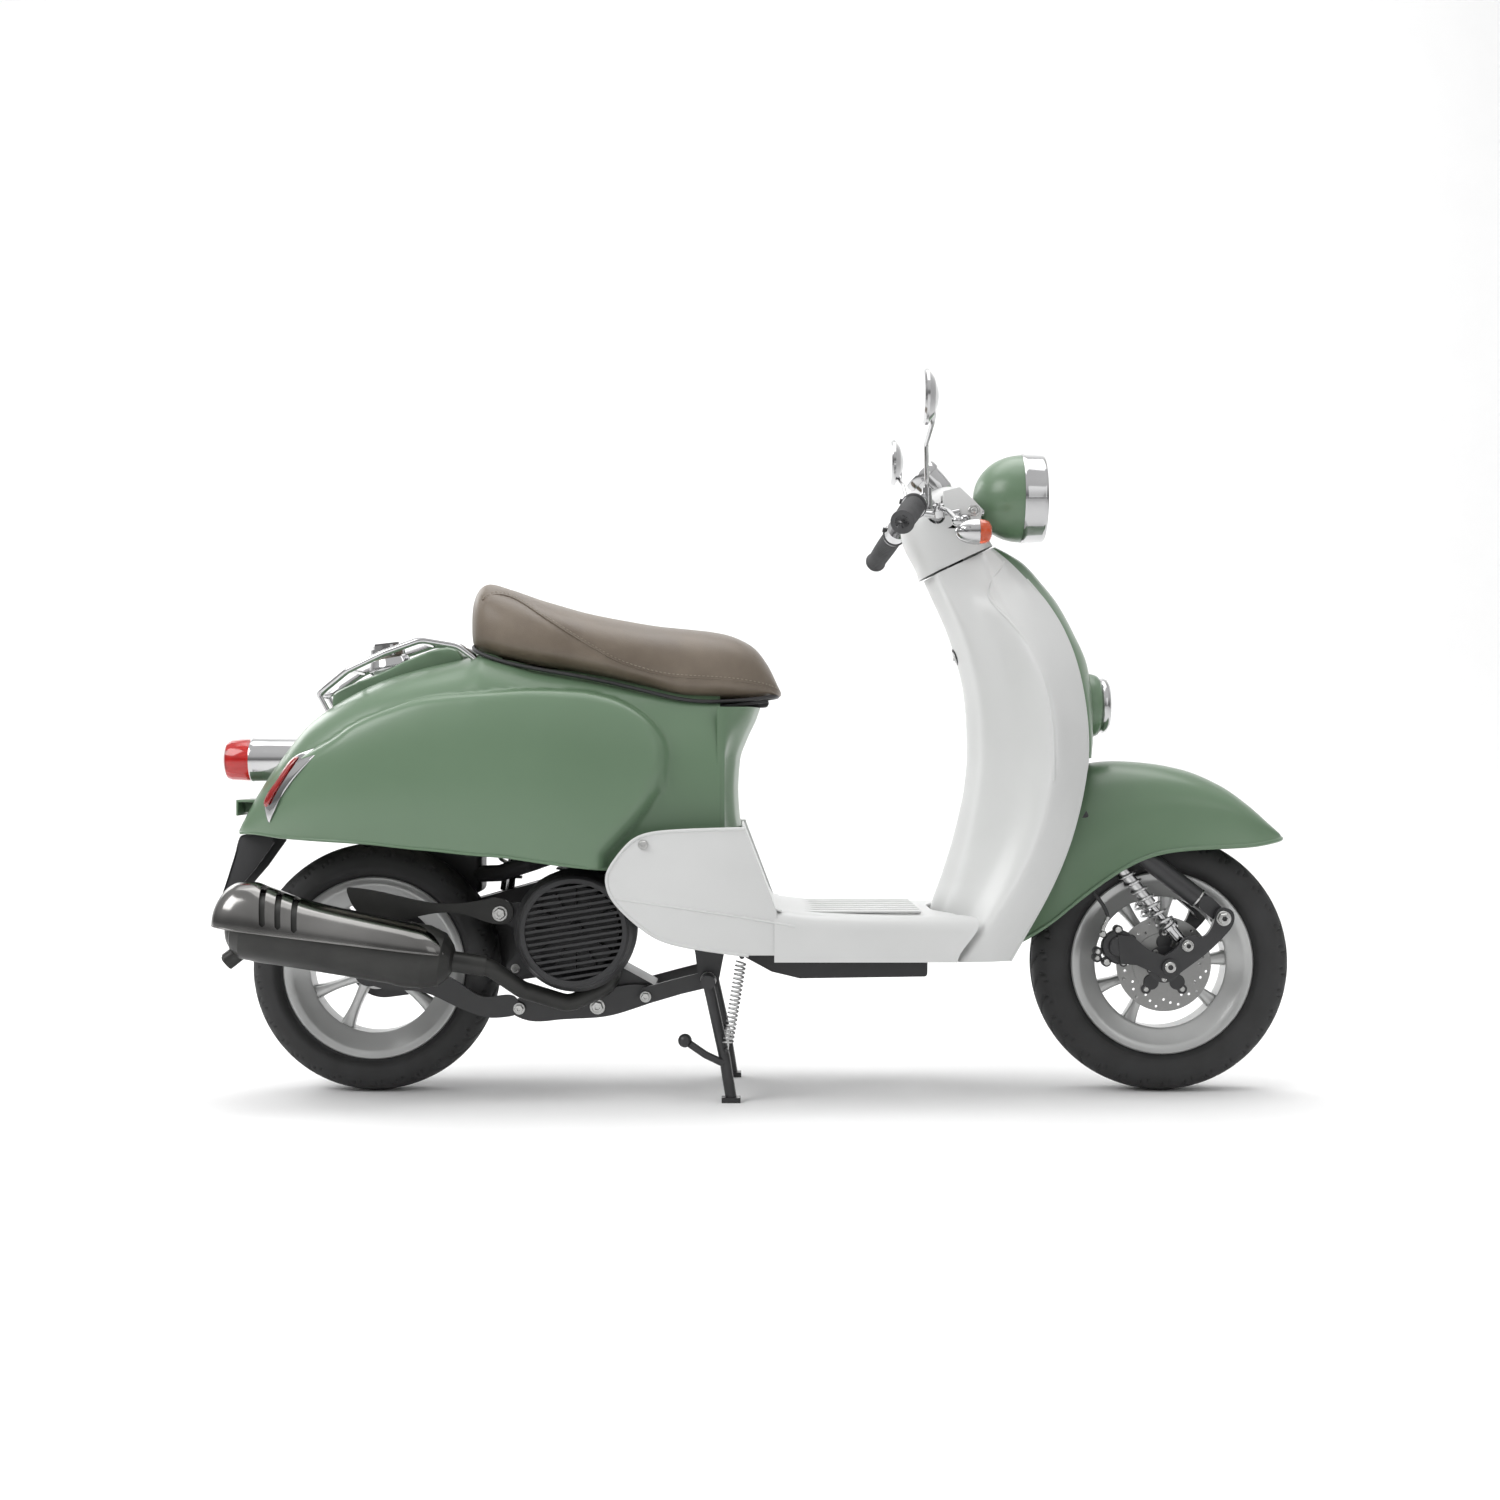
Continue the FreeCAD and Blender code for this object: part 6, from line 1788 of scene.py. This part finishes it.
@dataclass
class Fasteners:
    """The bright bolt heads on the engine, the stand, the fork link, the caliper and the disc."""

    palette: Palette
    bolts: list[Bolt] = field(default_factory=lambda: [
        Bolt(-412, 296, -92, 12.5, "engine"), Bolt(-388, 207, -84, 7.5, "engine", Head.SOCKET),
        Bolt(-383, 141, -74, 9.5, "engine"), Bolt(-257, 143, -66, 12.5, "engine"),
        Bolt(-178, 162, -90, 9.0, "engine"), Bolt(-77, 190, -96, 13.0, "stand", Head.SOCKET),
        Bolt(749, 289, -102, 12.0, "link"), Bolt(692, 245, -101, 9.5, "link", Head.SOCKET),
        Bolt(663, 211, -101, 11.0, "link", Head.SOCKET),
        *[Bolt(*round_disc(50, 18 + 72 * i), -55, 4.2, "front_wheel", Head.SOCKET) for i in range(5)],
        *[Bolt(*round_disc(24, 54 + 72 * i), -56, 4.6, "front_wheel", Head.SOCKET) for i in range(5)],
        Bolt(-177, 411, -187.6, 8.0, "chassis", Head.SOCKET),
    ])

    def build(self) -> None:
        """Builds one joined piece of heads for each body."""
        masters = {head: self.master(head) for head in Head}
        for body in sorted({bolt.body for bolt in self.bolts}):
            copies = []
            for bolt in self.bolts:
                if bolt.body == body:
                    twin = copy_at(masters[bolt.head], (0, 0, 0), (0, 0, 1))
                    twin.data.transform(Matrix.Scale(bolt.radius / 10.0, 4))
                    copies.append(copy_at(twin, (bolt.x, bolt.y, bolt.z), (0, -1, 0), bolt.x * 7 % 60))
                    remove(twin)
            dress(smooth(join(f"bolts_{body}", copies), 30), self.palette.bolt, body, "zinc_steel")
        for master in masters.values():
            remove(master)

    def master(self, head: Head) -> bpy.types.Object:
        """Returns a head of radius 10 standing on a washer, along +Z.

        Args:
            head: the kind of head.

        Returns:
            The head.
        """
        washer = lathe("washer", [(-2, 0.05), (-2, 10), (0.6, 10), (1.2, 9.5), (1.2, 0.05)], (0, 0, 0),
                       (0, 0, 1), 40)
        profile = [(1.2, 0.05), (1.2, 8.0), (5.5, 8.0), (6.6, 6.8), (6.6, 3.8), (3.0, 3.4), (3.0, 0.05)]
        nut = lathe("nut", profile, (0, 0, 0), (0, 0, 1), head.value)
        return join(f"bolt_{head.name.lower()}", [washer, nut])


@dataclass
class FrontGear:
    """The caliper's cover and bolts, the brake hose, the fork's clamp rings and the damper's sleeves."""

    palette: Palette
    caliper: tuple[float, float] = (583.0, 243.0)
    caliper_bolts: list[tuple[float, float, float]] = field(default_factory=lambda: [
        (582, 270, 5.0), (603, 255, 4.2), (549, 235, 4.0), (548, 225, 4.0), (563, 218, 5.0), (590, 218, 4.6),
    ])

    def build(self) -> None:
        """Builds all of them."""
        x, z = self.caliper
        low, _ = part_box("brake_caliper")
        face_y = low.y / MM
        cap = lathe("cap", [(-8, 27), (2, 27), (4, 25), (4, 17), (9, 16), (11, 13.5), (11, 0.05)],
                    (x, face_y, z), (0, -1, 0), 56)
        lugs = []
        for bx, bz, r in self.caliper_bolts:
            lugs.append(lathe("lug", [(-10, 7.5), (4, 7.5), (5.5, 6), (5.5, 0.05)], (bx, face_y, bz),
                              (0, -1, 0), 32))
        dress(smooth(join("caliper_cover", [cap] + lugs), 35), self.palette.frame, "link", "black_plastic")
        heads = [lathe("head", [(5.5, 0.05), (5.5, r), (8, r), (9.2, r * 0.7), (9.2, 0.05)], (bx, face_y, bz),
                       (0, -1, 0), 28)
                 for bx, bz, r in self.caliper_bolts]
        fitting = [(557, face_y - 2, 262), (556, face_y - 3, 270), (561, face_y - 2, 280), (566, face_y, 290)]
        heads.append(tube("fitting", fitting, 3.4))
        heads.append(lathe("banjo", [(-2, 6.5), (5, 6.5), (7, 4.5), (7, 0.05)], (557, face_y - 1, 263),
                           (0, -1, 0), 6))
        dress(smooth(join("caliper_fittings", heads), 35), self.palette.bolt, "link", "zinc_steel")
        hose = tube("brake_hose", [(566, face_y, 290), (562, face_y, 306), (548, face_y + 2, 322),
                                   (536, face_y + 8, 342),
                                   (532, face_y + 14, 372)], 3.2, order=4)
        dress(smooth(hose), self.palette.black, "link", "black_plastic")
        self.build_carrier()
        for side in Side:
            ring = tube("ring", [(712.5, side.value * 70, 320.5), (714.5, side.value * 70, 319)], 17.2)
            sleeve = tube("sleeve", [(588, side.value * 70, 418), (640, side.value * 70, 377),
                                     (713, side.value * 70, 320)], 16.4)
            name = side.name.lower()
            dress(smooth(ring), self.palette.bolt, "steering", "zinc_steel")
            ring.name = f"fork_ring_{name}"
            dress(smooth(sleeve), self.palette.frame, "steering", "black_frame")
            sleeve.name = f"fork_sleeve_{name}"

    def build_carrier(self) -> None:
        """Builds the disc's black carrier with its five arms and drive pins."""
        arms = [lathe("ring", [(51.5, 30), (55.5, 30), (56, 28), (56, 15), (51.5, 15)], (663, 0, 211),
                      (0, -1, 0), 64)]
        for i in range(5):
            angle = math.radians(18 + 72 * i)
            middle = Vector((663 + 36 * math.cos(angle), -53.5, 211 + 36 * math.sin(angle)))
            arms.append(lathe("arm", [(-2.5, 12.5), (1.5, 12.5), (2.2, 11.5), (2.2, 0.05)], middle,
                              (0, -1, 0), 32))
            tip = Vector((663 + 50 * math.cos(angle), -53.5, 211 + 50 * math.sin(angle)))
            arms.append(lathe("tip", [(-2.5, 8), (1.0, 8), (1.8, 7), (1.8, 0.05)], tip, (0, -1, 0), 28))
        dress(smooth(join("disc_carrier", arms), 35), self.palette.frame, "front_wheel", "black_frame")


@dataclass
class Springs:
    """The coil springs, carried on the bodies of their dampers."""

    palette: Palette
    top_seat: float = 27.0
    low_seat: float = 39.2
    steps: int = 14
    dead_turns: float = 0.7
    gap: float = 0.3

    def build(self) -> None:
        """Builds the front pair and the rear one."""
        self.build_coils("front_springs", (693, 245), (570, 392), (-68, 68), (12.3, 2.6, 9),
                         ("front_dampers", "front_damper_stroke"),
                         "front_shock_springs")
        self.build_coils("rear_spring", (-425, 310), (-390, 560), (106,), (19.8, 3.2, 8),
                         ("rear_damper", "rear_damper_stroke"),
                         "rear_shock_spring")

    def build_coils(self, name: str, low: tuple[float, float], top: tuple[float, float],
                    places: Sequence[float],
                    coil: tuple[float, float, int], motion: tuple[str, str], node: str) -> None:
        """Builds the coils of one axle.

        Args:
            name: the piece's name.
            low: the lower eye in side view.
            top: the upper eye in side view.
            places: how far each coil stands to the side.
            coil: the coil's radius, its wire's radius and its turns.
            motion: the body that carries the coils, and the damper's joint, which is not used.
            node: the solid that they replace.
        """
        radius, wire, turns = coil
        down = Vector((low[0] - top[0], 0, low[1] - top[1]))
        length = down.length - self.top_seat - self.low_seat
        down.normalize()
        side = Vector((0, 1, 0))
        out = down.cross(side).normalized()
        coils = []
        for number, y in enumerate(places):
            anchor = Vector((top[0], y, top[1])) + down * self.top_seat
            points = []
            for i in range(turns * self.steps + 1):
                angle = 2 * math.pi * i / self.steps
                live = turns - 2 * self.dead_turns
                share = min(max((i / self.steps - self.dead_turns) / live, 0.0), 1.0)
                depth = wire + self.gap + (length - 2 * wire - 2 * self.gap) * share
                turn = (out * math.cos(angle) + side * math.sin(angle)) * radius
                points.append(anchor + down * depth + turn)
            coils.append(tube(f"coil{number}", points, wire, order=4, fine=2))
        piece = dress(smooth(join(name, coils)), self.palette.steel, motion[0], "bright_chrome", node)
        anchor = (Vector((top[0], 0, top[1])) + down * self.top_seat) * MM
        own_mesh(piece)


# ---- studio -------------------------------------------------------------------------------------------
@dataclass
class Studio:
    """The pale floor, its sweep up behind, the soft lights and the camera."""

    camera_place: tuple[float, float, float] = (-0.010, -3.44, 0.559)
    lens: float = 50.0

    def build(self) -> None:
        """Builds the stage, the light and the camera."""
        rows = [[(x, y, z) for x in (-9000, 9000)] for y, z in
                [(-9000, 0), (2600, 0), (2900, 20), (3200, 90), (3500, 220), (3700, 400), (3830, 640),
                 (3880, 900), (3880, 6500)]]
        floor = skin("studio_sweep", rows)
        paper = Finish("studio_paper", (0.92, 0.92, 0.92), (0.93, 0.93, 0.93), (0.85, 0.95), fine=400.0,
                       depth=0.01, specular=0.1)
        floor.data.materials.append(paper.build())
        smooth(floor, 60)
        self.light("key", (-3.2, -2.2, 3.2), 2.2, 76)
        self.light("fill", (2.6, -3.4, 1.8), 2.0, 8)
        self.light("overhead", (0.2, 0.2, 3.8), 3.0, 46)
        self.light("back", (-2.6, 2.4, 2.2), 1.6, 26)
        self.light("wash", (0.0, 1.6, 4.2), 4.0, 70, (0.0, 4.0, 1.2))
        self.build_world()
        bpy.context.scene.view_settings.view_transform = "Standard"
        data = bpy.data.cameras.new("camera")
        data.lens = self.lens
        camera = bpy.data.objects.new("camera", data)
        camera.location = self.camera_place
        camera.rotation_euler = (math.pi / 2, 0, 0)
        bpy.context.scene.collection.objects.link(camera)
        bpy.context.scene.camera = camera

    def build_world(self) -> None:
        """Builds the surrounding light: pale above, with a darker band at eye height for plating."""
        world = bpy.data.worlds.new("studio_world")
        world.use_nodes = True
        nodes, link = world.node_tree.nodes, world.node_tree.links.new
        place = nodes.new("ShaderNodeTexCoord")
        split = nodes.new("ShaderNodeSeparateXYZ")
        ramp = nodes.new("ShaderNodeValToRGB")
        for position, tone in ((0.02, 0.24), (0.16, 0.42), (0.34, 0.86), (0.70, 1.0)):
            stop = ramp.color_ramp.elements.new(position)
            stop.color = (tone, tone, tone, 1)
        ramp.color_ramp.elements[0].color = (0.5, 0.5, 0.5, 1)
        link(place.outputs["Generated"], split.inputs["Vector"])
        link(split.outputs["Z"], ramp.inputs["Fac"])
        link(ramp.outputs["Color"], nodes["Background"].inputs["Color"])
        nodes["Background"].inputs["Strength"].default_value = 0.80
        bpy.context.scene.world = world

    def light(self, name: str, place: Point, size: float, power: float, aim: Point = (0, 0, 0.5)) -> None:
        """Adds one soft light aimed at a point, by default the middle of the scooter.

        Args:
            name: the lamp's name.
            place: where it stands, in metres.
            size: its width in metres.
            power: its power in watts.
            aim: what it points at.
        """
        data = bpy.data.lights.new(name, "AREA")
        data.size = size
        data.energy = power
        lamp = bpy.data.objects.new(name, data)
        lamp.location = place
        lamp.rotation_euler = (Vector(aim) - Vector(place)).to_track_quat("-Z", "Y").to_euler()
        bpy.context.scene.collection.objects.link(lamp)


def paint_cad(palette: Palette) -> None:
    """Gives their finishes to the CAD nodes that keep their shape."""
    paint_node(palette.frame, "main_frame", "centre_stand", "right_swing_arm", "steering_fork", "front_link",
               "kick_lever")
    paint_node(palette.black, "fan_cowl", "cvt_cover", "air_filter_box", "storage_box", "seat_pan",
               "starter_button",
               "horn_button", "brake_caliper")
    paint_node(palette.frame, "crankcase", "cylinder", "crank_and_fan")
    paint_node(palette.exhaust_black, "exhaust")
    paint_node(palette.chrome, "luggage_rack", "fuel_cap", "handlebar", "brake_lever_right",
               "brake_lever_left",
               "mirror_right", "mirror_left", "front_shock_rods", "rear_shock_rod")
    paint_node(palette.steel, "stand_spring", "front_shock_bodies", "rear_shock_body")
    paint_node(palette.white, "handlebar_cover")
    paint_node(palette.tank, "fuel_tank")
    paint_node(palette.disc, "brake_disc")


def main() -> None:
    """Builds the whole scooter and its studio."""
    palette = Palette()
    body = BodyShell(palette)
    parts = [
        body,
        LegShield(palette),
        Floor(palette),
        Seat(palette),
        Fender(palette),
        Wheel(palette, "front", "front_wheel", 211.0, 50.0, ("front_rim", "front_tyre")),
        Wheel(palette, "rear", "rear_wheel", 203.0, 52.0, ("rear_rim", "rear_tyre")),
        HeadUnit(palette),
        TailUnit(palette, body),
        Muffler(palette),
        Controls(palette),
        Fasteners(palette),
        FrontGear(palette),
        Springs(palette),
        Studio(),
    ]
    paint_cad(palette)
    for part in parts:
        LOG.info("building %s", type(part).__name__)
        part.build()


if __name__ == "__main__":
    main()
